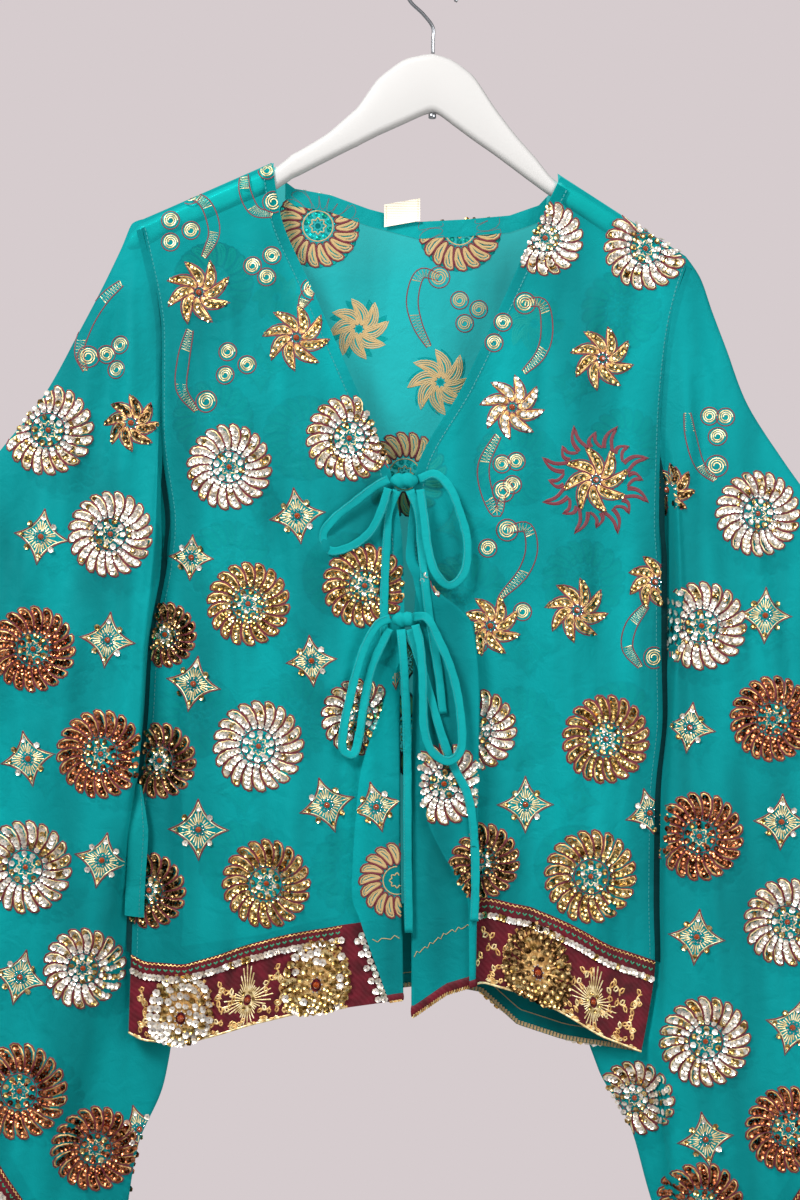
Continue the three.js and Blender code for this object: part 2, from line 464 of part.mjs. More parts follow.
// Places along a front row past the fold line: how far toward the centre, and how far forward.
function pastFold(row, hasPleat) {
  const places = [];
  let along = 0;
  let forward = 0;
  let heading = 0;
  const go = (length, steps, turn) => {
    for (let step = 0; step < steps; step++) {
      const middle = heading + turn / steps / 2;
      along += (length / steps) * Math.cos(middle);
      forward += (length / steps) * Math.sin(middle);
      heading += turn / steps;
      places.push({ along, forward });
    }
  };
  const turn = radians(row.turn);
  go(BEND_LENGTH, BEND_STEPS, turn);
  if (hasPleat) {
    go(row.pleat, 3, 0);
    go(BEND_LENGTH, BEND_STEPS, -turn);
  }
  go(row.flap, 3, 0);
  return places;
}

const FRONT_COLUMNS = 10;

function frontGrid(sections, hemTable, folds, hasPleat) {
  const rows = spreadAll(sections);
  const grid = rows.map((row) => {
    const inward = Math.sign(row.foldX - row.sideX);
    const at = (share, forward) => {
      const x = mix(row.sideX, row.foldX, share);
      const straight = mix(row.sideZ, row.foldZ, share);
      const z = straight - row.hem * readTable(hemTable, 'across', 'drop', share);
      const swell = Math.sin(Math.PI * Math.min(share, 1));
      const depth = mix(row.sideDepth, row.foldDepth, share) + row.belly * swell;
      const fold = foldHeight(folds, x, z) * Math.min(1, 6 * Math.abs(Math.min(share, 1)));
      return new THREE.Vector3(x, -(depth + fold + forward), z);
    };
    const width = Math.abs(row.foldX - row.sideX);
    const line = [];
    for (let column = 0; column <= FRONT_COLUMNS; column++) line.push(at(column / FRONT_COLUMNS, 0));
    for (const place of pastFold(row, hasPleat)) line.push(at(1 + place.along / width, place.forward));
    if (inward === 0) throw new Error('a front row has no width');
    return line;
  });
  const overRows = OVER_ANGLES.slice(0, -1).map((degrees) => grid[0].map((point) => {
    const arc = OVER_RADIUS * radians(90 - degrees);
    const place = overHanger(point.z + OVER_RADIUS, -point.y, arc);
    return new THREE.Vector3(point.x, -place.y, place.z);
  }));
  return [...overRows, ...grid];
}

function backGrid(leftSides, rightSides) {
  const first = leftSides[0];
  const last = rightSides[0];
  const bellies = spreadAll(BACK_BELLY);
  const overCount = OVER_ANGLES.length;
  const shares = BACK_TOP.map((place) => (place.x - first.x) / (last.x - first.x));
  const overRows = OVER_ANGLES.map((degrees, row) => BACK_TOP.map((place) => {
    const arc = OVER_RADIUS * radians(90 - place.over + 90 - degrees);
    const found = overHanger(place.z, OVER_RADIUS, arc);
    return new THREE.Vector3(place.x, found.y, found.z);
  }));
  const underarm = SLEEVE_INNER;
  const start = overRows[overCount - 1];
  const rows = [...overRows];
  for (let row = overCount; row < leftSides.length; row++) {
    const { belly, hem } = bellies[row - overCount + 1];
    const fade = Math.max(0, 1 - (row - overCount + 1) / (underarm - overCount + 1));
    rows.push(BACK_TOP.map((place, column) => {
      const share = shares[column];
      const x = mix(leftSides[row].x, rightSides[row].x, share);
      const straight = mix(leftSides[row].z, rightSides[row].z, share);
      const startStraight = mix(leftSides[overCount - 1].z, rightSides[overCount - 1].z, share);
      const topCurve = (start[column].z - startStraight) * fade;
      const z = straight + topCurve - hem * readTable(HEM_BACK, 'across', 'drop', share);
      const sideDepth = mix(-leftSides[row].y, -rightSides[row].y, share);
      const swell = Math.sin(Math.PI * share);
      const edgeFade = Math.min(1, 8 * Math.min(share, 1 - share));
      return new THREE.Vector3(x, sideDepth + belly * swell + foldHeight(FOLDS_BACK, x, z) * edgeFade, z);
    }));
  }
  return rows;
}

// The body's side edge and the back's depth, read anywhere, so that the sleeves clear them.
function edgeReader(sides) {
  return (z) => readTable(sides.map((point) => ({ z: point.z, x: point.x })), 'z', 'x', z);
}
function backDepthReader(grid) {
  return (x, z) => {
    let deepest = 0;
    for (let row = OVER_ANGLES.length; row < grid.length - 1; row++) {
      if (grid[row][0].z + 40 < z || grid[row + 1][0].z - 60 > z) continue;
      const depth = readTable(grid[row].map((point) => ({ x: point.x, y: point.y })), 'x', 'y', x);
      deepest = Math.max(deepest, depth);
    }
    return deepest;
  };
}

function sleeveGrid({ sections, front, back, out, edgeX, backDepth, folds, hemZ }) {
  const rings = spreadAll(sections);
  const frontSeam = front.slice(0, SLEEVE_INNER + 1).map((line) => line[0]);
  const backSeam = back.slice(0, SLEEVE_INNER + 1).map((line) => line[out < 0 ? 0 : line.length - 1]);
  const arcPoint = frontSeam[SLEEVE_ARC_STEPS];
  const lobePoint = frontSeam[SLEEVE_LOBE];
  const shareAt = (column) => (frontSeam[column].z - arcPoint.z) / (lobePoint.z - arcPoint.z);
  return rings.map((ring, index) => {
    const outer = new THREE.Vector2(ring.outerX, ring.outerZ);
    const lobe = new THREE.Vector2(ring.lobeX, ring.lobeZ);
    const inner = new THREE.Vector2(ring.innerX, ring.innerZ);
    const toLobe = lobe.clone().sub(outer).normalize();
    const places = [outer];
    for (let column = 1; column <= SLEEVE_ARC_STEPS; column++) {
      const angle = radians(OVER_ANGLES[column]);
      places.push(outer.clone().addScaledVector(toLobe, ring.round * (1 - Math.sin(angle))));
    }
    const arcEnd = places[SLEEVE_ARC_STEPS];
    for (let column = SLEEVE_ARC_STEPS + 1; column <= SLEEVE_LOBE; column++) {
      const share = shareAt(column);
      const place = arcEnd.clone().lerp(lobe, share);
      const seamBow = frontSeam[column].x - mix(arcPoint.x, lobePoint.x, share);
      place.x += seamBow * ring.follow;
      places.push(place);
    }
    for (const share of [0.3, 0.65, 1]) {
      const place = lobe.clone().lerp(inner, share);
      if (share < 0.5 && place.y > hemZ) place.x = out * Math.max(out * place.x, out * edgeX(place.y) + BODY_CLEARANCE);
      places.push(place);
    }
    const behind = out * inner.x < out * edgeX(inner.y) + BODY_CLEARANCE && inner.y > hemZ;
    const clear = backDepth(inner.x, inner.y) + BODY_CLEARANCE + SLEEVE_EDGE;
    const innerY = index > 0 && behind ? Math.max(ring.inner, clear) : ring.inner;
    const frontY = (column, place) => {
      if (column === 0) return -HALF_SEAM;
      if (column <= SLEEVE_ARC_STEPS) return -ring.round * Math.cos(radians(OVER_ANGLES[column]));
      const fold = foldHeight(folds, place.x, place.y);
      if (column <= SLEEVE_MIDDLE) {
        const share = (column - SLEEVE_ARC_STEPS) / (SLEEVE_MIDDLE - SLEEVE_ARC_STEPS);
        return mix(-ring.round, ring.front, ease(share)) - fold;
      }
      if (column <= SLEEVE_LOBE) {
        const share = (column - SLEEVE_MIDDLE) / (SLEEVE_LOBE - SLEEVE_MIDDLE);
        return mix(ring.front, ring.lobe, share * share) - fold;
      }
      const share = (column - SLEEVE_LOBE - 1) / (SLEEVE_INNER - SLEEVE_LOBE - 1);
      return mix(SLEEVE_DROP_Y, innerY - SLEEVE_EDGE, share);
    };
    const backY = (column, place) => {
      if (column === 0) return HALF_SEAM;
      if (column <= SLEEVE_ARC_STEPS) return ring.round * Math.cos(radians(OVER_ANGLES[column]));
      const fold = 0.8 * foldHeight(folds, place.x + 24, place.y);
      const innerBack = innerY + SLEEVE_EDGE;
      if (column <= SLEEVE_MIDDLE + 1) {
        const share = (column - SLEEVE_ARC_STEPS) / (SLEEVE_MIDDLE + 1 - SLEEVE_ARC_STEPS);
        return mix(ring.round, ring.back, ease(share)) + fold;
      }
      const share = (column - SLEEVE_MIDDLE - 1) / (SLEEVE_INNER - SLEEVE_MIDDLE - 1);
      return mix(ring.back, innerBack, share * share) + fold * (1 - share);
    };
    const layer = (depth) => places.map((place, column) => (
      new THREE.Vector3(place.x, depth(column, place), place.y)
    ));
    const frontLine = layer(frontY);
    const backLine = layer(backY);
    if (index === 0) {
      const seam = new THREE.Vector3(out * SEAM_GAP, 0, 0);
      frontLine.forEach((point, column) => point.copy(frontSeam[column]).add(seam));
      backLine.forEach((point, column) => point.copy(backSeam[column]).add(seam));
      return { frontLine, backLine, innerY: 0 };
    }
    for (let column = SLEEVE_LOBE + 1; column < SLEEVE_INNER; column++) {
      const point = frontLine[column];
      const behindBody = out * point.x < out * edgeX(point.z) + BODY_CLEARANCE && point.z > hemZ;
      if (behindBody) point.y = Math.max(point.y, backDepth(point.x, point.z) + BODY_CLEARANCE);
    }
    return { frontLine, backLine, innerY };
  });
}

const group = new THREE.Group();
const add = (mesh) => group.add(mesh);

// Body
const frontLeft = frontGrid(FRONT_LEFT, HEM_LEFT, FOLDS_FRONT_LEFT, false);
const frontRight = frontGrid(FRONT_RIGHT, HEM_RIGHT, FOLDS_FRONT_RIGHT, true);
const leftSides = frontLeft.map((line) => line[0]);
const rightSides = frontRight.map((line) => line[0]);
const back = backGrid(leftSides, rightSides);

const frontSide = (point) => {
  point.y = Math.min(point.y, -HALF_SEAM);
  return point;
};
const backSide = (point) => {
  point.y = Math.max(point.y, HALF_SEAM);
  return point;
};
const LEFT_OUT = 1;
const RIGHT_OUT = -1;
const BACK_OUT = -1;
const frontLeftInner = moved(frontLeft, LEFT_OUT, -CLOTH_WALL, { fit: frontSide });
const frontRightInner = moved(frontRight, RIGHT_OUT, -CLOTH_WALL, { fit: frontSide });
const backInner = moved(back, BACK_OUT, -CLOTH_WALL, { fit: backSide });
add(wall('front_left', frontLeft, frontLeftInner, MATERIALS.georgette));
add(wall('front_right', frontRight, frontRightInner, MATERIALS.georgette));
add(wall('back', back, backInner, MATERIALS.georgette));

// Sleeves: each hangs as a front and a back layer that meet at the top fold and underarm seam
const sleeves = [
  { name: 'left', sections: SLEEVE_LEFT, front: frontLeft, out: -1, sides: leftSides,
    folds: FOLDS_SLEEVE_LEFT, frontOut: LEFT_OUT },
  { name: 'right', sections: SLEEVE_RIGHT, front: frontRight, out: 1, sides: rightSides,
    folds: FOLDS_SLEEVE_RIGHT, frontOut: RIGHT_OUT },
];
const CUFF_ROWS = 2;
const UNDERARM_ROWS = 3;
for (const sleeve of sleeves) {
  const rings = sleeveGrid({
    sections: sleeve.sections,
    front: sleeve.front,
    back,
    out: sleeve.out,
    edgeX: edgeReader(sleeve.sides),
    backDepth: backDepthReader(back),
    folds: sleeve.folds,
    hemZ: sleeve.sides[sleeve.sides.length - 1].z - 10,
  });
  const layers = [
    { name: 'front', grid: rings.map((ring) => ring.frontLine), towards: -1 },
    { name: 'back', grid: rings.map((ring) => [...ring.backLine].reverse()), towards: 1 },
  ];
  for (const { name, grid, towards } of layers) {
    const inFit = (point, from, row, index) => {
      const column = towards < 0 ? index : SLEEVE_INNER - index;
      const onEdge = column === SLEEVE_INNER || (row === 0 && column > SLEEVE_ARC_STEPS);
      const underArm = column > SLEEVE_LOBE && row < rings.length - 1 - CUFF_ROWS;
      if (onEdge || underArm) point.set(from.x, from.y - towards * CLOTH_WALL, from.z);
      if (row === 0) point.x = sleeve.out * Math.max(sleeve.out * point.x, sleeve.out * from.x);
      const planeY = column > SLEEVE_LOBE && (towards < 0 || onEdge) ? rings[row].innerY : 0;
      point.y = planeY + towards * Math.max(towards * (point.y - planeY), HALF_SEAM);
      return point;
    };
    const inner = moved(grid, sleeve.frontOut, -CLOTH_WALL, { fit: inFit });
    const turnedRows = towards > 0 ? UNDERARM_ROWS : 0;
    add(wall(`sleeve_${sleeve.name}_${name}`, grid, inner, MATERIALS.georgette, { turnedRows }));
  }
  const last = rings.slice(rings.length - 1 - CUFF_ROWS);
  const cuff = last.map((ring) => [...ring.frontLine, ...[...ring.backLine].reverse()]);
  const cuffInner = moved(cuff, sleeve.frontOut, SEAM_GAP, { closed: true });
  const cuffOuter = moved(cuff, sleeve.frontOut, SEAM_GAP + BORDER_WALL, { closed: true });
  add(wall(`cuff_border_${sleeve.name}`, cuffOuter, cuffInner, MATERIALS.border, { closed: true }));
}

// Hem borders lie on the outside of each panel's last rows
const BORDER_ROWS = 2;
function layOver(name, grid, side, material, thickness) {
  const inner = moved(grid, side, SEAM_GAP);
  const outer = moved(grid, side, SEAM_GAP + thickness);
  add(wall(name, outer, inner, material));
}
const lastRow = frontLeft.length - 1;
layOver('border_front_left', part(frontLeft, lastRow - BORDER_ROWS, lastRow, 0, FRONT_COLUMNS),
  LEFT_OUT, MATERIALS.border, BORDER_WALL);
layOver('border_front_right', part(frontRight, lastRow - BORDER_ROWS, lastRow, 0, FRONT_COLUMNS),
  RIGHT_OUT, MATERIALS.border, BORDER_WALL);
layOver('border_back', part(back, lastRow - BORDER_ROWS, lastRow, 0, BACK_TOP.length - 1),
  BACK_OUT, MATERIALS.border, BORDER_WALL);

// Facings turned to the inside of the neck and front edges
function layUnder(name, grid, side, material, thickness) {
  const outer = moved(grid, side, -(CLOTH_WALL + SEAM_GAP));
  const inner = moved(grid, side, -(CLOTH_WALL + SEAM_GAP + thickness));
  add(wall(name, outer, inner, material));
}
const FACING_TOP_ROW = 3;
const FACING_LAST_ROW = 9;
const NECK_FIRST_COLUMN = 7;
const NECK_LAST_COLUMN = 13;
layUnder('facing_front_left', part(frontLeft, FACING_TOP_ROW, FACING_LAST_ROW, FRONT_COLUMNS, FRONT_COLUMNS + 7),
  LEFT_OUT, MATERIALS.georgette, FACING_WALL);
layUnder('facing_front_right', part(frontRight, FACING_TOP_ROW, FACING_LAST_ROW, FRONT_COLUMNS + 7,
  FRONT_COLUMNS + 14), RIGHT_OUT, MATERIALS.georgette, FACING_WALL);
layUnder('facing_back_neck', part(back, 0, 1, NECK_FIRST_COLUMN, NECK_LAST_COLUMN),
  BACK_OUT, MATERIALS.georgette, FACING_WALL);

// Blank label at the back of the neck: sewn under the facing, its top curled forward
const LABEL_WIDTH = 28;
const LABEL_HEIGHT = 17;
const LABEL_CENTRE_X = -24;
const LABEL_BOTTOM_Z = -205;
const LABEL_BACK_Y = 5.2;
const LABEL_CURL = 4;
const LABEL_TILT = 2.5;
const LABEL_COLUMNS = 4;
const LABEL_ROWS = 3;
const labelGrid = (yShift) => Array.from({ length: LABEL_ROWS + 1 }, (_, row) => (
  Array.from({ length: LABEL_COLUMNS + 1 }, (__, column) => {
    const rise = 1 - row / LABEL_ROWS;
    const across = column / LABEL_COLUMNS - 0.5;
    return new THREE.Vector3(
      LABEL_CENTRE_X + LABEL_WIDTH * across,
      LABEL_BACK_Y + yShift - LABEL_CURL * rise * rise,
      LABEL_BOTTOM_Z + LABEL_HEIGHT * rise + LABEL_TILT * 2 * across,
    );
  })
));
add(wall('neck_label', labelGrid(-1), labelGrid(0), MATERIALS.label));

// Ribbon ties: flat ribbon along each stretch of the bows, and a knot in the middle
function ribbonSection() {
  const halfThick = RIBBON_THICKNESS / 2;
  const halfWide = RIBBON_WIDTH / 2;
  const corner = halfThick * 0.4;
  const shape = new THREE.Shape();
  shape.moveTo(halfThick, -halfWide + corner);
  shape.lineTo(halfThick, halfWide - corner);
  shape.lineTo(halfThick - corner, halfWide);
  shape.lineTo(-halfThick + corner, halfWide);
  shape.lineTo(-halfThick, halfWide - corner);
  shape.lineTo(-halfThick, -halfWide + corner);
  shape.lineTo(-halfThick + corner, -halfWide);
  shape.lineTo(halfThick - corner, -halfWide);
  shape.closePath();
  return shape;
}
for (const ribbon of RIBBONS) {
  const curve = new THREE.CatmullRomCurve3(ribbon.path.map((place) => new THREE.Vector3(...place)), false, 'centripetal');
  const geometry = new THREE.ExtrudeGeometry(ribbonSection(), { steps: ribbon.steps, extrudePath: curve });
  const mesh = new THREE.Mesh(geometry, MATERIALS.ribbon.clone());
  mesh.name = ribbon.name;
  add(mesh);
}
for (const knot of KNOTS) {
  const geometry = new THREE.SphereGeometry(1, 12, 8);
  geometry.scale(knot.halfX, knot.halfY, knot.halfZ);
  const mesh = new THREE.Mesh(geometry, MATERIALS.ribbon.clone());
  mesh.name = knot.name;
  mesh.position.set(knot.x, knot.y, knot.z);
  add(mesh);
}

// Hanger: a flat board with rounded long edges, lofted from tip to tip
function hangerRing({ x, top, bottom, half }) {
  const radius = Math.min(half, (top - bottom) / 2);
  const ring = [];
  for (let step = 0; step <= HANGER_ARC_STEPS; step++) {
    const angle = (Math.PI * step) / HANGER_ARC_STEPS;
    ring.push(new THREE.Vector3(x, half * Math.cos(angle), top - radius + radius * Math.sin(angle)));
  }
  for (let step = 0; step <= HANGER_ARC_STEPS; step++) {
    const angle = Math.PI + (Math.PI * step) / HANGER_ARC_STEPS;
    ring.push(new THREE.Vector3(x, half * Math.cos(angle), bottom + radius + radius * Math.sin(angle)));
  }
  return ring;
}
add(loft('hanger', HANGER.map(hangerRing), MATERIALS.hanger));

// Wire hook: a stem, a lean to one side and most of a circle round the rail
const hookRadius = HOOK_INNER_RADIUS + WIRE_RADIUS;
const hookPoints = [
  new THREE.Vector3(HOOK_STEM_X, 0, HOOK_STEM_BOTTOM),
  new THREE.Vector3(HOOK_STEM_X, 0, HOOK_STEM_BOTTOM + 10),
  new THREE.Vector3(HOOK_STEM_X, 0, HOOK_STEM_BOTTOM + 20),
  new THREE.Vector3(HOOK_STEM_X - 7, 0, HOOK_STEM_BOTTOM + 30),
];
const HOOK_FROM = 215;
const HOOK_TO = -35;
const HOOK_TURN_STEPS = 12;
for (let step = 0; step <= HOOK_TURN_STEPS; step++) {
  const angle = radians(mix(HOOK_FROM, HOOK_TO, step / HOOK_TURN_STEPS));
  hookPoints.push(new THREE.Vector3(
    hookRadius * Math.cos(angle), 0, -HOOK_INNER_RADIUS + hookRadius * Math.sin(angle),
  ));
}
const wireSection = new THREE.Shape();
wireSection.absarc(0, 0, WIRE_RADIUS, 0, 2 * Math.PI);
const hookGeometry = new THREE.ExtrudeGeometry(wireSection, {
  steps: 34,
  curveSegments: 8,
  extrudePath: new THREE.CatmullRomCurve3(hookPoints, false, 'centripetal'),
});
const hook = new THREE.Mesh(hookGeometry, MATERIALS.wire.clone());
hook.name = 'hanger_hook';
add(hook);

// Nut on the hook's stem, under the middle of the hanger
const nutGeometry = new THREE.CylinderGeometry(NUT_RADIUS, NUT_RADIUS, NUT_HEIGHT, 12);
nutGeometry.rotateX(Math.PI / 2);
const nut = new THREE.Mesh(nutGeometry, MATERIALS.wire.clone());
nut.name = 'hook_nut';
nut.position.set(-0.5, 0, -119.3 - SEAM_GAP - NUT_HEIGHT / 2);
add(nut);

export default group;
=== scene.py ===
# %% [markdown]
# # A sheer sari blouse on a wooden hanger
# The real thing is a turquoise georgette blouse, open down the front, with very wide sleeves.
# Sequins, beads and metal thread are sewn all over it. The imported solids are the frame, and each
# soft solid is dressed here with a finer cloth form made from the same named sizes. Lengths are
# written in millimetres, as on a paper pattern, and turned to metres only when a mesh is made.

# %% Load the frame
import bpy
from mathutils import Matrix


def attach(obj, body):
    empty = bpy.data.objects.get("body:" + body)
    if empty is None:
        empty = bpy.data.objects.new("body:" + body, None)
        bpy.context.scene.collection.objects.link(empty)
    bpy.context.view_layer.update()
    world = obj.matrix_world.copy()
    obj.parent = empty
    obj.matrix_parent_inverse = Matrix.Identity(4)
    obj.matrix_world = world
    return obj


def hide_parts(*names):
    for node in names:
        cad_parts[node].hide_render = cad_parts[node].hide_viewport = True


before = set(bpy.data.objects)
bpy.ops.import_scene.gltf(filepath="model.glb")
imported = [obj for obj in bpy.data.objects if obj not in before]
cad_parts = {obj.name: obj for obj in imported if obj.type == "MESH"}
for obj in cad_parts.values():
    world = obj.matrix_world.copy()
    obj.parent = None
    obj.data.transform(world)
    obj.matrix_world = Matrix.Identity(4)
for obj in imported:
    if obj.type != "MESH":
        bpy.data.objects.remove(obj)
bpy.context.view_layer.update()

import math
import random

import bpy
import numpy as np
from mathutils import Vector
from mathutils.bvhtree import BVHTree

MM = 0.001
print("solids to dress:", len(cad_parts))

# %% [markdown]
# A mesh can be made by modelling tools or straight from lists of points. The cloth here comes from
# rows of numbers, so points and faces go in as arrays, which is quick even for thousands of sequins.
# Every piece rides on the one rigid body and takes one named material.

# %% Make a piece from points and faces
def make_piece(name, points_mm, faces, material, replaces=()):
    """One mesh on the body root; replaces names the solids that it dresses."""
    mesh = bpy.data.meshes.new(name)
    points = np.asarray(points_mm, dtype=float) * MM
    mesh.from_pydata(points.tolist(), [], [list(map(int, face)) for face in faces])
    mesh.update()
    mesh.polygons.foreach_set("use_smooth", [True] * len(mesh.polygons))
    mesh.materials.append(material)
    piece = bpy.data.objects.new(name, mesh)
    bpy.context.scene.collection.objects.link(piece)
    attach(piece, "root")
    for node in replaces:
        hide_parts(node)
    return piece


def grid_faces(rows, columns, closed=False):
    """Quads between neighbouring rows of points; closed joins the last column to the first."""
    across = columns if closed else columns - 1
    row, column = np.meshgrid(np.arange(rows - 1), np.arange(across), indexing="ij")
    here = row * columns + column
    beside = row * columns + (column + 1) % columns
    return np.stack([here, beside, beside + columns, here + columns], axis=-1).reshape(-1, 4)


def unit(vectors):
    """The same directions with a length of one, along the last axis."""
    return vectors / np.maximum(np.linalg.norm(vectors, axis=-1, keepdims=True), 1e-9)


def run_along(line):
    """How far along a line of points each of them lies."""
    return np.concatenate([[0], np.cumsum(np.linalg.norm(np.diff(line, axis=0), axis=1))])


def joined(grid, closed):
    """A grid that meets itself gets its first column once more at the end."""
    return np.concatenate([grid, grid[:, :1]], axis=1) if closed else grid


def capped_tube(rings):
    """Faces of a tube of rings with both ends closed."""
    rows, columns = rings.shape[:2]
    faces = grid_faces(rows, columns, closed=True).tolist()
    faces.append(list(range(columns))[::-1])
    faces.append([(rows - 1) * columns + i for i in range(columns)])
    return faces


# %% [markdown]
# Colours are picked as sRGB hex values from the real finishes, but a shader works in linear light,
# so one function turns them over. One more adds any node to a material with its settings and links.

# %% Colour and node helpers
def linear(hex_colour, alpha=1.0):
    """An sRGB hex colour as the linear values that a shader uses."""
    parts = [int(hex_colour[i:i + 2], 16) / 255 for i in (1, 3, 5)]
    return [p / 12.92 if p <= 0.04045 else ((p + 0.055) / 1.055) ** 2.4 for p in parts] + [alpha]


def add_node(material, kind, inputs=None, **settings):
    """Adds a node. inputs gives each socket a value, or another node's output to link to."""
    made = material.node_tree.nodes.new(kind)
    for setting, value in settings.items():
        setattr(made, setting, value)
    for socket, value in (inputs or {}).items():
        if isinstance(value, bpy.types.NodeSocket):
            material.node_tree.links.new(value, made.inputs[socket])
        else:
            made.inputs[socket].default_value = value
    return made


def new_material(name, hex_colour, roughness, metallic=0.0):
    material = bpy.data.materials.new(name)
    material.use_nodes = True
    shader = material.node_tree.nodes["Principled BSDF"]
    shader.inputs["Base Color"].default_value = linear(hex_colour)
    shader.inputs["Roughness"].default_value = roughness
    shader.inputs["Metallic"].default_value = metallic
    material.diffuse_color = linear(hex_colour)
    return material, shader


def link(material, output, socket):
    material.node_tree.links.new(output, socket)


def fill_ramp(ramp, low, high):
    """Sets both ends of a colour ramp; each is a place on it and a hex colour."""
    for element, (position, hex_colour) in zip(ramp.color_ramp.elements, (low, high)):
        element.position, element.color = position, linear(hex_colour)


# %% [markdown]
# The photograph is taken straight on, so the camera stands level with the middle of the picture.
# Its lens is worked out from the real width of the hanger: 936 mm of height fits the frame at 2 m.

# %% Camera
SENSOR = 36.0
CAMERA_DISTANCE = 2000.0
FRAME_HEIGHT = 936.0
FRAME_MIDDLE_X, FRAME_MIDDLE_Z = -25.7, -499.0
camera_data = bpy.data.cameras.new("camera")
camera_data.sensor_width = SENSOR
camera_data.sensor_fit = "AUTO"
camera_data.lens = SENSOR * CAMERA_DISTANCE / FRAME_HEIGHT
camera = bpy.data.objects.new("camera", camera_data)
camera.location = (FRAME_MIDDLE_X * MM, -CAMERA_DISTANCE * MM, FRAME_MIDDLE_Z * MM)
camera.rotation_euler = (math.radians(90), 0, 0)
bpy.context.scene.collection.objects.link(camera)
bpy.context.scene.camera = camera
print(f"lens {camera_data.lens:.1f} mm")

# %% [markdown]
# The blouse cloth is georgette: a sheer crepe woven from tightly twisted threads, which gives it a
# pebbled, matt face. Twisted threads let some light straight through and scatter the rest, so the
# shader mixes a soft surface with a translucent one and a little plain transparency, and more of
# it at the shoulders, where the cloth is pulled open over the hanger. The crepe's pebbles are about
# 0.4 mm. They are drawn at 1.5 mm, since finer ones would vanish in the picture, and the rumples
# that crepe keeps at 13 mm. The tone wanders slowly in streaks stretched downward: partly random
# tone, partly painted shade of soft vertical folds.

# %% Georgette
CREPE_PEBBLE = 1.5
RUMPLES_A_METRE = 75.0
TONE_AND_FOLD_SHADE_STREAKS_A_METRE = 24.0
SHOULDER_FROM, SHOULDER_TO = -0.25, -0.175


def sheer_cloth(name, hex_light, hex_deep, see_through, at_shoulder=None):
    """A crepe with its own see-through share, from 0 for dense to 1 for clear."""
    material, shader = new_material(name, hex_light, 0.72)
    place = add_node(material, "ShaderNodeTexCoord").outputs["Object"]
    # The base colour streaks are partly random tone and partly painted shade of soft vertical folds.
    hanging = add_node(material, "ShaderNodeMapping", {"Vector": place, "Scale": (1.0, 1.0, 0.22)})
    tone = add_node(material, "ShaderNodeTexNoise",
                    {"Vector": hanging.outputs["Vector"], "Scale": TONE_AND_FOLD_SHADE_STREAKS_A_METRE, "Detail": 2.0})
    ramp = add_node(material, "ShaderNodeValToRGB", {"Fac": tone.outputs["Fac"]})
    fill_ramp(ramp, (0.3, hex_deep), (0.7, hex_light))
    link(material, ramp.outputs["Color"], shader.inputs["Base Color"])
    pebble = add_node(material, "ShaderNodeTexNoise",
                      {"Vector": place, "Scale": 1 / (CREPE_PEBBLE * MM), "Detail": 2.0, "Roughness": 0.6})
    rumple = add_node(material, "ShaderNodeTexNoise",
                      {"Vector": place, "Scale": RUMPLES_A_METRE, "Detail": 4.0, "Distortion": 0.6})
    rough = add_node(material, "ShaderNodeBump",
                     {"Height": pebble.outputs["Fac"], "Strength": 0.25, "Distance": 0.0006})
    soft = add_node(material, "ShaderNodeBump",
                    {"Height": rumple.outputs["Fac"], "Strength": 0.35, "Distance": 0.004,
                     "Normal": rough.outputs["Normal"]})
    link(material, soft.outputs["Normal"], shader.inputs["Normal"])
    shader.inputs["Sheen Weight"].default_value = 0.05
    shader.inputs["Sheen Roughness"].default_value = 0.5
    shader.inputs["Sheen Tint"].default_value = linear("#7FE0D6")
    shader.inputs["Specular IOR Level"].default_value = 0.1
    glow = add_node(material, "ShaderNodeBsdfTranslucent",
                    {"Color": ramp.outputs["Color"], "Normal": soft.outputs["Normal"]})
    thin = add_node(material, "ShaderNodeMixShader",
                    {"Fac": 0.22, 1: shader.outputs["BSDF"], 2: glow.outputs["BSDF"]})
    clear = add_node(material, "ShaderNodeBsdfTransparent", {"Color": (0.1, 0.9, 0.88, 1.0)})
    share = see_through
    if at_shoulder is not None:
        up = add_node(material, "ShaderNodeSeparateXYZ", {"Vector": place})
        share = add_node(material, "ShaderNodeMapRange",
                         {"Value": up.outputs["Z"], "From Min": SHOULDER_FROM, "From Max": SHOULDER_TO,
                          "To Min": see_through, "To Max": at_shoulder}).outputs["Result"]
    mixed = add_node(material, "ShaderNodeMixShader",
                     {"Fac": share, 1: thin.outputs["Shader"], 2: clear.outputs["BSDF"]})
    link(material, mixed.outputs["Shader"], material.node_tree.nodes["Material Output"].inputs["Surface"])
    return material


# One layer glows and shows what lies behind it; two layers are nearly closed; the allowances beside the
# armholes are near-black green, partly from their several layers and partly as painted recess shade.
georgette = sheer_cloth("georgette_crepe", "#009699", "#006E71", 0.26, 0.76)
georgette_doubled = sheer_cloth("georgette_two_layers", "#008C8D", "#007A7B", 0.04)
# Near-black cloth: the darkening of several layers plus painted shade of the recess beside the armholes.
georgette_painted_recess_shade = sheer_cloth("georgette_layers_with_painted_recess_shade", "#013C3E", "#012C2E", 0.0)
ribbon_cloth = sheer_cloth("georgette_folded_ribbon", "#069B9C", "#038789", 0.05)
print("cloth materials:", georgette.name, georgette_doubled.name, georgette_painted_recess_shade.name, ribbon_cloth.name)

# %% [markdown]
# Each bow is tied from a narrow ribbon: a strip of the same georgette folded in and stitched along
# one edge. It is a flat cord with a free end, so it is modelled first, on the route of its solid.
# A flat section is carried along a smooth curve with its face toward the wearer's front, and its
# width and cup vary a little, as folded crepe does.

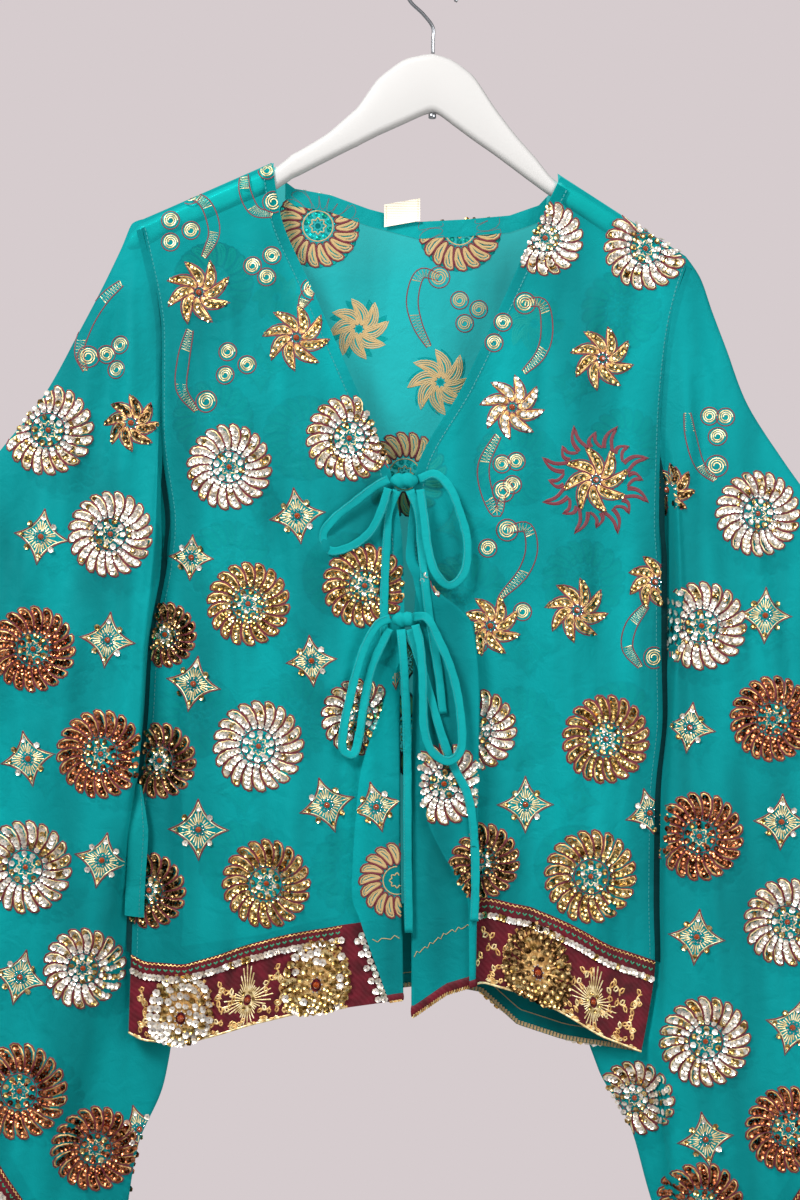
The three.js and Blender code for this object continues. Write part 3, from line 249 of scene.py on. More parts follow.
# %% Ribbon routes
RIBBON_WIDTH = 7.0
RIBBON_THICKNESS = 1.3
RIBBONS = {
    "tie_upper_left_loop": ("object", "loose", [
        (-34.4, -27.2, -406), (-44, -27, -411), (-61, -27.5, -424), (-77, -27.9, -437), (-85, -26, -449),
        (-80, -25.8, -461), (-64, -26, -458), (-49, -26.4, -447), (-40, -27.2, -430), (-34.8, -27, -413)
    ]),
    "tie_upper_right_loop": ("object", "loose", [
        (-11.1, -26.8, -406), (1, -27.9, -402), (12, -28.8, -412), (20, -29.4, -431), (26, -29.3, -455),
        (23, -31, -479), (12, -34.5, -488), (2, -37.2, -479), (-4, -35, -460), (-7, -31.8, -436),
        (-10.2, -28.4, -414)
    ]),
    "tie_upper_left_tail": ("bare", "hanging", [
        (-28, -25.4, -414.6), (-34, -23.4, -430), (-36, -23.2, -455), (-38, -24.1, -500),
        (-38, -24.3, -530)
    ]),
    "tie_upper_right_tail": ("bare", "hanging", [
        (-18, -26.6, -414.6), (-12, -28, -430), (-9.5, -30.4, -455), (-6.5, -37, -487),
        (-3, -35.5, -514), (4, -36, -556), (7, -36.1, -586)
    ]),
    "tie_lower_left_loop": ("object", "loose", [
        (-33.1, -32, -513), (-42, -32.3, -517), (-51, -33.1, -531), (-58, -34.1, -550),
        (-64, -33.8, -574), (-69, -32.4, -598), (-69, -31.2, -615), (-62, -30.1, -618),
        (-57, -29.1, -603), (-54, -28.9, -583), (-47, -28.5, -550), (-33.6, -29.4, -521)
    ]),
    "tie_lower_right_loop": ("object", "loose", [
        (-15, -35.6, -512), (-6, -41.6, -512), (4, -42.6, -530), (13, -43, -551), (20, -43.2, -583),
        (20, -42.9, -615), (11, -42.6, -622), (-1, -42.2, -615), (-7, -42, -598), (-8, -41.8, -577),
        (-8.5, -41.6, -553), (-10.5, -39, -532), (-14, -36.2, -518)
    ]),
    "tie_lower_long_tail": ("bare", "hanging", [
        (-25, -33.8, -521.6), (-23.4, -36.6, -540), (-21, -32, -580), (-20, -28.6, -620),
        (-20, -28.4, -680), (-19, -27, -755)
    ]),
    "tie_lower_right_tail": ("bare", "hanging", [
        (-18.5, -33, -521.6), (-11, -36.2, -545), (-2, -37.4, -575), (7, -38.3, -605), (16, -38.4, -628),
        (26, -37.8, -648), (31, -37, -680), (32, -36.5, -717), (31, -35.5, -745)
    ]),
}


def smooth_route(points, steps):
    """A centripetal Catmull-Rom curve through the points, as evenly spaced places."""
    points = [np.array(p, dtype=float) for p in points]
    points = [2 * points[0] - points[1]] + points + [2 * points[-1] - points[-2]]
    places = []
    for a, b, c, d in zip(points, points[1:], points[2:], points[3:]):
        t1 = np.linalg.norm(b - a) ** 0.5
        t2 = t1 + np.linalg.norm(c - b) ** 0.5
        t3 = t2 + np.linalg.norm(d - c) ** 0.5
        for t in np.linspace(t1, t2, 24, endpoint=False):
            ab = a + (b - a) * t / t1
            bc = b + (c - b) * (t - t1) / (t2 - t1)
            cd = c + (d - c) * (t - t2) / (t3 - t2)
            abc = ab + (bc - ab) * t / t2
            bcd = bc + (cd - bc) * (t - t1) / (t3 - t1)
            places.append(abc + (bcd - abc) * (t - t1) / (t2 - t1))
    places.append(points[-2])
    places = np.array(places)
    run = run_along(places)
    even = np.linspace(0, run[-1], steps + 1)
    return np.stack([np.interp(even, run, places[:, axis]) for axis in range(3)], axis=1), run[-1]


# %% [markdown]
# The stitching along a ribbon's edge is a row of short raised dashes. They are one mesh for each
# ribbon, and move with it on the same body root.

# %% Ribbon meshes
# Spun polyester is a little smoother than crepe and dyed darker, so each stitch reads as a thin line.
stitch_thread, _ = new_material("polyester_sewing_thread", "#0C8082", 0.55)


def flat_frames(route):
    """The width and face vectors at each place of a route whose face looks forward."""
    along = unit(np.gradient(route, axis=0))
    face = unit(np.array([0.0, -1.0, 0.0]) - along * (-along[:, 1])[:, None])
    return np.cross(along, face), face


RIBBON_SECTION = [(-1, -0.5), (-0.8, -1), (-0.3, -0.85), (0.3, -0.85), (0.8, -1), (1, -0.5),
                  (1, 0.5), (0.8, 1), (0.3, 0.85), (-0.3, 0.85), (-0.8, 1), (-1, 0.5)]
# A stitch dash is a ridge between two ends of three points each, so it has two faces.
DASH_FACES = np.array([[0, 1, 4, 3], [1, 2, 5, 4]])


def ribbon(name, points):
    route, length = smooth_route(points, max(24, int(len(points) * 9)))
    wide, face = flat_frames(route)
    steps = np.arange(len(route))
    seed = sum(map(ord, name))
    breadth = 0.94 + 0.06 * np.sin(steps * 0.7 + seed) * np.sin(steps * 0.31 + seed)
    cup = 0.35 * np.sin(steps * 0.33 + seed)
    half, thick = RIBBON_WIDTH / 2, RIBBON_THICKNESS / 2
    rings = []
    for place, w, f, b, c in zip(route, wide, face, breadth, cup):
        rings.append([place + w * (u * half * b) + f * (v * thick + c * (u * u - 0.4))
                      for u, v in RIBBON_SECTION])
    rings = np.array(rings)
    count = len(RIBBON_SECTION)
    faces = grid_faces(len(route), count, closed=True).tolist()
    points_all = np.concatenate([rings.reshape(-1, 3), route[:1], route[-1:]])
    end, last = len(route) * count, (len(route) - 1) * count
    for i in range(count):
        faces.append([end, (i + 1) % count, i])
        faces.append([end + 1, last + i, last + (i + 1) % count])
    piece = make_piece(name + "_ribbon", points_all, faces, ribbon_cloth, [name])
    dash_points, dash_faces = [], []
    for start in range(1, len(route) - 2):
        for part in (0.1, 0.6):
            a = route[start] + (route[start + 1] - route[start]) * part
            b = route[start] + (route[start + 1] - route[start]) * (part + 0.3)
            w, f = wide[start], face[start]
            base = len(dash_points)
            edge = half * breadth[start] * 0.7
            lift = thick * 1.02 + cup[start] * 0.1 + 0.12
            for p in (a, b):
                dash_points += [p + w * (edge - 0.25) + f * lift, p + w * edge + f * (lift + 0.25),
                                p + w * (edge + 0.25) + f * lift]
            dash_faces += (DASH_FACES + base).tolist()
    dashes = make_piece(name + "_stitches", dash_points, dash_faces, stitch_thread)
    return length


for name, (far_end, lay, points) in RIBBONS.items():
    print(f"{name}: {ribbon(name, points):.0f} mm")

# %% [markdown]
# The blouse was cut as flat panels, but what the eye meets is how they hang. Each panel is worked
# out from section tables with named columns: where its side and its centre fold lie, how deep it
# stands forward, how far its edge turns back. The same numbers shaped the solids, so the cloth
# lies on them; here each section is read eight times finer and smoothly.

# %% Section tables
FINE = 8
ACROSS = 48
OVER_STEPS = 6
OVER_RADIUS = 8.0
BEND_LENGTH = 6.0
HALF_SEAM = 0.15


def table(columns, rows):
    return [dict(zip(columns.split(), row)) for row in rows]


FRONT_LEFT = table("name side_x side_z side_depth fold_x fold_z fold_depth belly flap turn hem rows", [
    ("shoulder", -226, -210, 8, -133, -170, 8, 0, 3, 0, 0, 1),
    ("yoke", -221, -231, 8, -127, -204, 9, 1, 3, 0, 0, 2),
    ("chest", -211, -294, 6, -101, -264, 13, 4, 3, 0, 0, 3),
    ("bust", -212, -367, 4, -72, -330, 17, 7, 3, 0, 0, 2),
    ("upper tie", -204, -437, 2.4, -42, -402, 20, 8, 3, 0, 0, 1),
    ("underarm", -207, -470, 1.4, -33, -456, 21, 8, 3, 0, 0, 2),
    ("lower tie", -219, -538, 1.4, -31, -514, 22, 9, 3, 20, 0, 2),
    ("waist", -222, -589, 1.4, -28, -573, 22, 9, 12, 150, 0, 2),
    ("hip", -228, -655, 1.4, -27.5, -636, 22, 10, 30, 175, 0, 2),
    ("slit top", -234, -745, 1.4, -27, -718, 21, 10, 36, 176, 0.3, 1),
    ("border top", -235, -775, 1.4, -26, -743, 20, 10, 30, 176, 1, 2),
    ("hem", -237, -836, 1.4, -25, -808, 19, 9, 9, 176, 1, 0)
])
FRONT_RIGHT = table("name side_x side_z side_depth fold_x fold_z fold_depth belly pleat flap turn hem rows", [
    ("shoulder", 197, -239, 8, 115, -186, 8, 0, 3, 3, 0, 0, 1),
    ("yoke", 190, -260, 8, 99, -216, 9, 1, 3, 3, 0, 0, 2),
    ("chest", 182, -300, 6, 74, -268, 13, 4, 3, 3, 0, 0, 3),
    ("bust", 177, -367, 4, 41, -337, 17, 7, 3, 3, 0, 0, 2),
    ("upper tie", 176, -437, 2.4, 5, -402, 20, 8, 3, 3, 0, 0, 1),
    ("underarm", 178, -470, 1.4, -4, -456, 21, 8, 3, 3, 40, 0, 1),
    ("pleat top", 178, -504, 1.4, -11, -486, 21, 8, 12, 12, 150, 0, 1),
    ("lower tie", 178, -536, 1.4, -13, -514, 21, 9, 42, 38, 174, 0, 2),
    ("waist", 179, -589, 1.4, -14, -573, 21, 9, 48, 44, 175, 0, 2),
    ("hip", 173, -655, 1.4, -15, -647, 21, 10, 48, 42, 175, 0, 2),
    ("slit top", 172, -733, 1.4, -15, -725, 20, 10, 47, 12, 175, 0.4, 1),
    ("border top", 173, -780, 1.4, -15, -757, 19, 10, 47, 5, 175, 1, 2),
    ("hem", 162, -851, 1.4, -15, -821, 18, 9, 46, 3, 175, 1, 0)
])
print("front sections:", len(FRONT_LEFT), len(FRONT_RIGHT))

# %% [markdown]
# A hem is never a straight line on a hanging blouse: it dips and rises with the folds above it. Its
# drop is a curve across the panel. The back's top edge lies over the hanger outside the neck and
# hangs as a free curve inside it, so its table also says how far each place goes over the top.

# %% Hems and the back
HEM_LEFT = table("across drop", [
    (0, 0), (0.05, 7), (0.2, 13), (0.33, 9), (0.45, 4), (0.6, 0), (1, 0)
])
HEM_RIGHT = table("across drop", [
    (0, 0), (0.18, -8), (0.35, -22), (0.52, -32), (0.7, -36), (0.86, -22), (1, 0)
])
HEM_BACK = table("across drop", [
    (0, 0), (0.24, -14), (0.43, -34), (0.6, -45), (0.69, -40), (0.76, -16), (0.85, -6), (1, 0)
])
BACK_TOP = table("x z over", [
    (-226, -202, 90), (-201, -191, 90), (-176, -180, 90), (-151, -169, 90), (-126, -158, 90),
    (-124.5, -158, 45), (-123, -158, 0), (-108, -169, 0), (-80, -174, 0), (-50, -185, 0), (-12, -195, 0),
    (26, -193, 0), (60, -190, 0), (83, -182, 0), (95, -169, 0), (98, -169, 45), (100, -169, 90),
    (124, -184, 90), (148, -200, 90), (172, -215, 90), (197, -231, 90)
])
BACK_BELLY = table("name belly hem rows", [
    ("shoulder", 0, 0, 1), ("yoke", 2, 0, 2), ("chest", 7, 0, 3), ("bust", 12, 0, 2),
    ("upper tie", 15, 0, 1), ("underarm", 16, 0, 2), ("lower tie", 17, 0, 2), ("waist", 17, 0, 2),
    ("hip", 17, 0, 2), ("slit top", 16, 0.4, 1), ("border top", 15, 1, 2), ("hem", 14, 1, 0)
])
print("places along the back's top:", len(BACK_TOP), "- its sections:", len(BACK_BELLY))

# %% [markdown]
# A sleeve is three lines that run down it: the outer fold, the lobe beside the body and the inner
# fold behind the body. Each section holds their places, how round the top fold is, how far forward
# or back each layer hangs, and how closely the ring follows the curve of the armhole.

# %% Sleeve sections
SLEEVE_COLUMNS = ("outer_x outer_z lobe_x lobe_z inner_x inner_z "
                  "follow round front lobe inner back rows")
SLEEVE_LEFT = table(SLEEVE_COLUMNS, [
    (-228, -202, -212, -367, -207, -470, 1, 8, -8, -5, 0, 8, 1),
    (-234, -205, -213, -402, -210.5, -486, 0.8, 8, -9, -13, 5, 11, 1),
    (-243, -225, -214, -445, -206, -522, 0.5, 8, -11, -18, 8, 14, 1),
    (-258, -256, -218, -491, -206, -577, 0.25, 7, -12, -20, 11, 18, 1),
    (-277, -292, -223, -538, -200, -628, 0.1, 7, -13, -20, 13, 22, 1),
    (-303, -339, -226, -593, -196, -679, 0, 6, -14, -20, 14, 25, 1),
    (-338, -383, -235, -655, -196, -733, 0, 6, -14, -19, 15, 27, 2),
    (-386, -445, -250, -725, -200, -800, 0, 6, -14, -17, 15, 28, 2),
    (-430, -515, -266, -811, -211, -876, 0, 6, -13, -14, 14, 29, 2),
    (-466, -593, -286, -878, -232, -928, 0, 6, -12, -11, 13, 29, 1),
    (-483, -630, -300, -920, -243, -994, 0, 6, -12, -10, 13, 29, 1),
    (-499, -667, -317, -967, -257, -1067, 0, 6, -12, -9, 13, 29, 2),
    (-525, -722, -346, -1018, -282, -1125, 0, 6, -12, -9, 13, 29, 0)
])
SLEEVE_RIGHT = table(SLEEVE_COLUMNS, [
    (197, -231, 177, -367, 178, -468, 1, 8, -8, -5, 0, 8, 1),
    (208, -247, 186, -405, 178.7, -484, 0.8, 8, -9, -12, 5, 11, 1),
    (218, -275, 189, -456, 172, -522, 0.5, 8, -11, -16, 8, 14, 1),
    (229, -304, 190, -507, 168, -577, 0.25, 7, -12, -16, 11, 18, 1),
    (243, -342, 187, -562, 158, -628, 0.1, 7, -13, -14, 13, 22, 1),
    (273, -390, 185, -616, 144, -690, 0, 6, -14, -13, 14, 25, 1),
    (303, -431, 182, -671, 130, -753, 0, 6, -14, -13, 16, 28, 2),
    (335, -472, 181, -733, 118, -819, 0, 6, -14, -13, 17, 29, 2),
    (378, -542, 181, -827, 130, -866, 0, 6, -13, -13, 15, 29, 2),
    (403, -593, 182, -878, 155, -911, 0, 6, -12, -11, 13, 29, 1),
    (423, -640, 188, -940, 171, -967, 0, 6, -12, -9, 13, 29, 1),
    (446, -693, 221, -1055, 208, -1072, 0, 6, -12, -8, 13, 29, 2),
    (472, -749, 240, -1117, 225, -1139, 0, 6, -12, -8, 13, 29, 0)
])
print("sleeve sections:", len(SLEEVE_LEFT), len(SLEEVE_RIGHT))

# %% [markdown]
# Folds are listed one by one: each line runs from one point to another with its own width and height.
# A plus height is a ridge and a minus height a trough. These broad ones shape the solids as well.

# %% Broad folds
def folds(rows):
    return table("x1 z1 x2 z2 width height", rows)


FOLDS_FRONT_LEFT = folds([
    (-60, -420, -92, -770, 11, 4), (-118, -440, -128, -790, 13, -3.5), (-170, -330, -172, -740, 12, 3.5)
])
FOLDS_FRONT_RIGHT = folds([
    (70, -420, 78, -800, 12, -3.5), (104, -330, 112, -780, 12, 4), (148, -400, 146, -800, 11, -3)
])
FOLDS_BACK = folds([
    (-150, -300, -160, -780, 15, 4), (-88, -360, -96, -800, 13, -4), (-20, -300, -24, -790, 17, 5),
    (52, -380, 60, -780, 13, -4), (112, -310, 118, -790, 15, 4)
])
FOLDS_SLEEVE_LEFT = folds([
    (-226, -270, -250, -470, 9, 5), (-250, -270, -300, -560, 11, -4), (-285, -330, -356, -640, 13, 5),
    (-250, -560, -272, -790, 11, 4), (-330, -520, -350, -900, 14, -5), (-400, -560, -440, -860, 15, 6),
    (-330, -820, -370, -1060, 14, 6)
])
FOLDS_SLEEVE_RIGHT = folds([
    (204, -280, 214, -520, 9, -5), (222, -310, 240, -640, 11, 5), (262, -400, 300, -760, 13, -5),
    (300, -460, 345, -840, 14, 6), (215, -700, 232, -980, 12, 4), (380, -580, 400, -860, 14, -5),
    (270, -860, 290, -1040, 14, 5)
])

# %% [markdown]
# The hanger is an outline seen from the front, with its half thickness, and the knots are egg forms.

# %% Hanger outline and knots
HANGER = table("x top bottom half", [
    (-239, -221, -224, 2), (-236, -214, -226, 5), (-228, -205.5, -225, 6), (-212, -198.3, -217, 6),
    (-175, -182, -201, 6), (-150, -171, -190, 6), (-121, -160.5, -178, 6), (-110, -152, -171, 6),
    (-83, -136, -157, 6), (-59, -115, -145, 6), (-43, -92, -137, 6), (-23, -77, -128, 6),
    (-4, -73, -119.3, 6), (3, -73.5, -119.3, 6), (16, -78, -129, 6), (32, -90, -141, 6),
    (48, -115, -152, 6), (64, -136, -164, 6), (80, -154, -176, 6), (94, -172, -186, 6),
    (104, -174.5, -192, 6), (138, -196, -215, 6), (172, -217.5, -237, 6), (195, -232.5, -253, 6),
    (202, -242, -256, 5), (205, -250, -254, 2)
])
KNOTS = table("name x y z half_x half_y half_z", [
    ("tie_upper_knot", -22.5, -26.4, -407, 11, 4.4, 6.5), ("tie_lower_knot", -22, -31, -514, 10, 4.4, 6.5)
])
print("hanger sections:", len(HANGER), "- knots:", len(KNOTS))

# %% [markdown]
# Small creases are lines of the same kind. They are the uneven rumples that crepe keeps when it
# hangs, more of them on the sleeves, and some on the back where nobody looks. A simulation could
# make them, but these stay where they are put and come out the same each time.

# %% Small creases
def creases(rows):
    """Crepe rolls over softly, so each crease is wider and higher than its written core."""
    return [{**fold, "width": 1.7 * fold["width"], "height": 2.5 * fold["height"]} for fold in folds(rows)]


CREASES_FRONT_LEFT = creases([
    (-205, -240, -196, -430, 4.5, 1.6), (-188, -215, -178, -400, 5, -1.8), (-165, -205, -150, -380, 4, 1.4),
    (-140, -190, -112, -350, 5, 1.7), (-150, -420, -146, -640, 5, 1.8), (-132, -380, -108, -540, 4, -1.4),
    (-98, -360, -78, -520, 4.5, 1.6), (-204, -450, -208, -700, 5, -2.0), (-188, -520, -196, -800, 5, 1.8),
    (-150, -640, -152, -830, 4.5, -1.5), (-112, -600, -110, -810, 5, 1.9), (-76, -560, -70, -790, 4.5, -1.5),
    (-50, -520, -46, -700, 4, 1.3), (-60, -440, -96, -470, 4, 1.2), (-58, -545, -88, -580, 4, 1.1),
    (-180, -640, -176, -750, 4, -1.2)
])
CREASES_FRONT_RIGHT = creases([
    (182, -260, 168, -420, 4.5, 1.7), (160, -240, 140, -400, 5, -1.6), (134, -220, 108, -370, 4.5, 1.5),
    (100, -250, 72, -400, 4.5, -1.3), (160, -450, 160, -680, 5, 1.7), (128, -420, 130, -620, 4.5, -1.8),
    (88, -430, 92, -600, 4, 1.5), (52, -420, 58, -560, 4.5, -1.4), (164, -620, 160, -830, 4.5, -1.6),
    (132, -640, 132, -820, 5, 1.9), (94, -620, 96, -800, 4.5, -1.6), (60, -580, 62, -790, 5, 1.7),
    (28, -430, 66, -452, 4, 1.2), (40, -640, 42, -780, 4, 1.3), (112, -520, 116, -600, 4, -1.1)
])
CREASES_BACK = creases([
    (-190, -220, -186, -520, 5, 1.8), (-120, -200, -118, -420, 5, -1.7), (-56, -220, -62, -480, 5.5, 2.0),
    (16, -230, 20, -520, 5, -1.9), (80, -210, 88, -440, 5, 1.8), (150, -250, 148, -520, 5, -1.7),
    (-190, -560, -196, -800, 5.5, -2.1), (-124, -520, -130, -800, 5, 2.0), (-60, -560, -58, -800, 5, -1.8),
    (14, -540, 18, -780, 5.5, 2.0), (86, -560, 90, -800, 5, 1.8), (146, -600, 142, -830, 5, -1.7)
])
CREASES_SLEEVE_LEFT = creases([
    (-232, -215, -238, -360, 4, 1.6), (-246, -260, -262, -430, 4.5, -1.7), (-262, -300, -292, -480, 4.5, 1.8),
    (-300, -360, -350, -560, 5, -2.0), (-234, -420, -252, -640, 4.5, 1.7), (-270, -480, -306, -700, 5, 1.9),
    (-330, -460, -396, -700, 5, 1.8), (-372, -480, -440, -700, 5, -2.0), (-300, -680, -330, -900, 5, -1.9),
    (-350, -700, -400, -960, 5.5, 2.1), (-410, -640, -470, -820, 5, 1.8), (-280, -740, -300, -900, 4.5, 1.6),
    (-390, -860, -440, -960, 5, -1.8), (-320, -900, -350, -1040, 5, 1.9), (-440, -620, -492, -730, 4.5, -1.5)
])
CREASES_SLEEVE_RIGHT = creases([
    (196, -300, 202, -430, 4, 1.6), (210, -280, 224, -440, 4.5, -1.7), (230, -340, 254, -500, 4.5, 1.8),
    (196, -480, 204, -690, 4.5, -1.6), (246, -440, 280, -640, 5, 1.9), (284, -440, 330, -640, 5, -1.9),
    (210, -620, 224, -850, 5, 1.8), (252, -640, 282, -860, 5, -2.0), (320, -520, 374, -760, 5, 1.9),
    (196, -820, 212, -1020, 4.5, 1.6), (240, -860, 262, -1060, 5, 1.8), (310, -780, 352, -960, 5.5, 2.0),
    (360, -680, 410, -880, 5, -1.8), (300, -940, 330, -1040, 5, -1.7), (400, -640, 440, -740, 4.5, 1.5)
])
print("creases:", sum(map(len, (CREASES_FRONT_LEFT, CREASES_FRONT_RIGHT, CREASES_BACK,
                                CREASES_SLEEVE_LEFT, CREASES_SLEEVE_RIGHT))))

# %% [markdown]
# Cloth has no corners between two sections, so each column of a table is read as a smooth curve. It
# is held from swinging past its own numbers, which would make bulges that nobody cut.

# %% Reading the tables
def smooth_between(before, start, end, after, t):
    """A smooth value between two table rows that never swings past them."""
    def slope(left, right):
        return 2 * left * right / (left + right) if left * right > 0 else 0.0
    step = end - start
    m0, m1 = slope(start - before, step), slope(step, after - end)
    return ((2 * t**3 - 3 * t**2 + 1) * start + (t**3 - 2 * t**2 + t) * m0
            + (3 * t**2 - 2 * t**3) * end + (t**3 - t**2) * m1)


def along_cloth(sections, column):
    """One column of a section table, at every fine row of the cloth."""
    values = [section[column] for section in sections]
    dense = []
    for i, section in enumerate(sections[:-1]):
        steps = section["rows"] * FINE
        before, after = values[max(i - 1, 0)], values[min(i + 2, len(values) - 1)]
        dense += [smooth_between(before, values[i], values[i + 1], after, t / steps) for t in range(steps)]
    return np.array(dense + [values[-1]], dtype=float)


def fold_height(fold_lines, x, z):
    """How far the folds lift the cloth at flat places: a bell across each line, fading to its ends."""
    height = np.zeros(np.broadcast(x, z).shape)
    for fold in fold_lines:
        run_x, run_z = fold["x2"] - fold["x1"], fold["z2"] - fold["z1"]
        length = math.hypot(run_x, run_z)
        share = ((x - fold["x1"]) * run_x + (z - fold["z1"]) * run_z) / length**2
        aside = ((x - fold["x1"]) * run_z - (z - fold["z1"]) * run_x) / length
        profile = np.exp(-(aside / fold["width"]) ** 2)
        height += fold["height"] * np.sin(np.pi * np.clip(share, 0, 1)) * profile
    return height


# %% [markdown]
# Below the ties each front edge rolls outward on itself, the left one once and the right one twice,
# as a pleat. The roll is walked step by step: a bend turns the heading, a straight run keeps it.
# The cloth also goes over the rounded top of the hanger as a quarter circle.

# %% The two fronts and the back
def past_fold(fold_row, has_pleat):
    """The cloth beyond the fold, as distance along the panel and forward of it."""
    places, along, forward, heading = [], 0.0, 0.0, 0.0
    turn = math.radians(fold_row["turn"])
    legs = [(BEND_LENGTH, 8, turn)]
    if has_pleat:
        legs += [(fold_row["pleat"], 9, 0.0), (BEND_LENGTH, 8, -turn)]
    legs += [(fold_row["flap"], 8, 0.0)]
    for length, steps, bend in legs:
        for _ in range(steps):
            middle = heading + bend / steps / 2
            along += length / steps * math.cos(middle)
            forward += length / steps * math.sin(middle)
            heading += bend / steps
            places.append((along, forward))
    return np.array(places)


def front_form(sections, hem, fold_lines, has_pleat):
    columns = {key: along_cloth(sections, key) for key in sections[0] if key not in ("name", "rows")}
    hem_across = [row["across"] for row in hem]
    hem_drop = [row["drop"] for row in hem]
    lines = []
    for index in range(len(columns["side_x"])):
        row = {key: values[index] for key, values in columns.items()}
        past = past_fold(row, has_pleat)
        width = abs(row["fold_x"] - row["side_x"])
        share = np.concatenate([np.linspace(0, 1, ACROSS + 1), 1 + past[:, 0] / width])
        forward = np.concatenate([np.zeros(ACROSS + 1), past[:, 1]])
        capped = np.minimum(share, 1)
        x = row["side_x"] + (row["fold_x"] - row["side_x"]) * share
        z = row["side_z"] + (row["fold_z"] - row["side_z"]) * share
        z -= row["hem"] * np.interp(share, hem_across, hem_drop)
        depth = row["side_depth"] + (row["fold_depth"] - row["side_depth"]) * share
        depth += row["belly"] * np.sin(np.pi * capped)
        depth += fold_height(fold_lines, x, z) * np.minimum(1, 6 * capped)
        lines.append(np.stack([x, -(depth + forward), z], axis=1))
    body = np.array(lines)
    over = []
    for degrees in np.linspace(90, 0, OVER_STEPS, endpoint=False):
        angle = math.radians(degrees)
        line = body[0].copy()
        line[:, 1] = -np.maximum(HALF_SEAM, -body[0][:, 1] * math.cos(angle))
        line[:, 2] = body[0][:, 2] + OVER_RADIUS * math.sin(angle)
        over.append(line)
    return np.concatenate([np.array(over), body])


def back_form(left_side, right_side):
    place = np.arange(len(BACK_TOP))
    fine_place = np.linspace(0, len(BACK_TOP) - 1, 4 * (len(BACK_TOP) - 1) + 1)
    top_x, top_z, over = (np.interp(fine_place, place, [row[key] for row in BACK_TOP])
                          for key in ("x", "z", "over"))
    share = (top_x - top_x[0]) / (top_x[-1] - top_x[0])
    grid = []
    for degrees in np.linspace(90, 0, OVER_STEPS + 1):
        arc = OVER_RADIUS * np.radians(180 - over - degrees)
        angle = np.maximum(np.pi / 2 - arc / OVER_RADIUS, 0)
        below = np.maximum(arc - OVER_RADIUS * np.pi / 2, 0)
        y = np.maximum(HALF_SEAM, OVER_RADIUS * np.cos(angle))
        grid.append(np.stack([top_x, y, top_z - OVER_RADIUS * (1 - np.sin(angle)) - below], axis=1))
    start = grid[-1]
    belly, hem = along_cloth(BACK_BELLY, "belly"), along_cloth(BACK_BELLY, "hem")
    hem_drop = np.interp(share, [row["across"] for row in HEM_BACK], [row["drop"] for row in HEM_BACK])
    left, right = left_side[OVER_STEPS:], right_side[OVER_STEPS:]
    start_straight = left[0, 2] + (right[0, 2] - left[0, 2]) * share
    edge_fade = np.minimum(1, 8 * np.minimum(share, 1 - share))
    for row in range(1, len(left)):
        fade = max(0.0, 1 - row / (9 * FINE))
        x = left[row, 0] + (right[row, 0] - left[row, 0]) * share
        z = left[row, 2] + (right[row, 2] - left[row, 2]) * share
        z += (start[:, 2] - start_straight) * fade - hem[row] * hem_drop
        depth = -left[row, 1] + (left[row, 1] - right[row, 1]) * share + belly[row] * np.sin(np.pi * share)
        depth += fold_height(FOLDS_BACK + CREASES_BACK, x, z) * edge_fade
        grid.append(np.stack([x, depth, z], axis=1))
    return np.array(grid)


front_left_cloth = front_form(FRONT_LEFT, HEM_LEFT, FOLDS_FRONT_LEFT + CREASES_FRONT_LEFT, False)
front_right_cloth = front_form(FRONT_RIGHT, HEM_RIGHT, FOLDS_FRONT_RIGHT + CREASES_FRONT_RIGHT, True)
back_cloth = back_form(front_left_cloth[:, 0], front_right_cloth[:, 0])
print("front and back rows:", front_left_cloth.shape, front_right_cloth.shape, back_cloth.shape)


# %% [markdown]
# The hang of a panel can be checked on its surface, so each form also gets a search tree. A line
# sent straight at it from the front or the back finds the point where a bead would be sewn, and on
# which run of the cloth: the plain panel, a turned-back run or the top of a pleat.

# %% Search trees
RAY_START = 300


class Surface:
    def __init__(self, grid, closed=False):
        rows, columns = grid.shape[:2]
        self.across = columns if closed else columns - 1
        faces = grid_faces(rows, columns, closed)
        self.tree = BVHTree.FromPolygons(grid.reshape(-1, 3).tolist(), faces.tolist())

    def hit(self, x, z, facing=-1, side=0):
        """The place, normal toward the viewer, column and whether the right side shows, along Y."""
        start, way = Vector((x, facing * RAY_START, z)), Vector((0, -facing, 0))
        place, normal, face, _ = self.tree.ray_cast(start, way)
        if place is None:
            return None
        right_side = -side * normal.y * facing > 0
        if normal.y * facing < 0:
            normal.negate()
        return np.array(place), np.array(normal), face % self.across, right_side


def outward(grid, side, closed=False):
    """The normals of a form on its right side; side is 1 or -1, by the way its columns run."""
    if closed:
        across = np.roll(grid, -1, axis=1) - np.roll(grid, 1, axis=1)
    else:
        across = np.gradient(grid, axis=1)
    return side * unit(np.cross(np.gradient(grid, axis=0), across))


def lifted(grid, side, distance, closed=False):
    return grid + outward(grid, side, closed) * distance


LEFT_OUT, RIGHT_OUT, BACK_OUT = 1, -1, -1
back_surface = Surface(back_cloth)

# %% [markdown]
# A sleeve hangs as a flat bell with a front and a back layer. Each ring is laid out from the top
# fold, down the front layer to the lobe beside the body, and round to the underarm fold behind the
# body. The first rings blend into the curve of the armhole seam they are sewn to.

# %% The sleeves
SLEEVE_LAST = 11
COLUMN_STEPS = [3, 3] + [8] * 9 + [4] + [8] * 9 + [3, 3]
SEAM_GAP = 2.5
BODY_GAP = 4.5
HALF_LAYERS = 1.35
LOBE_DEPTH = 3
BACK_FOLD_SHIFT = 24
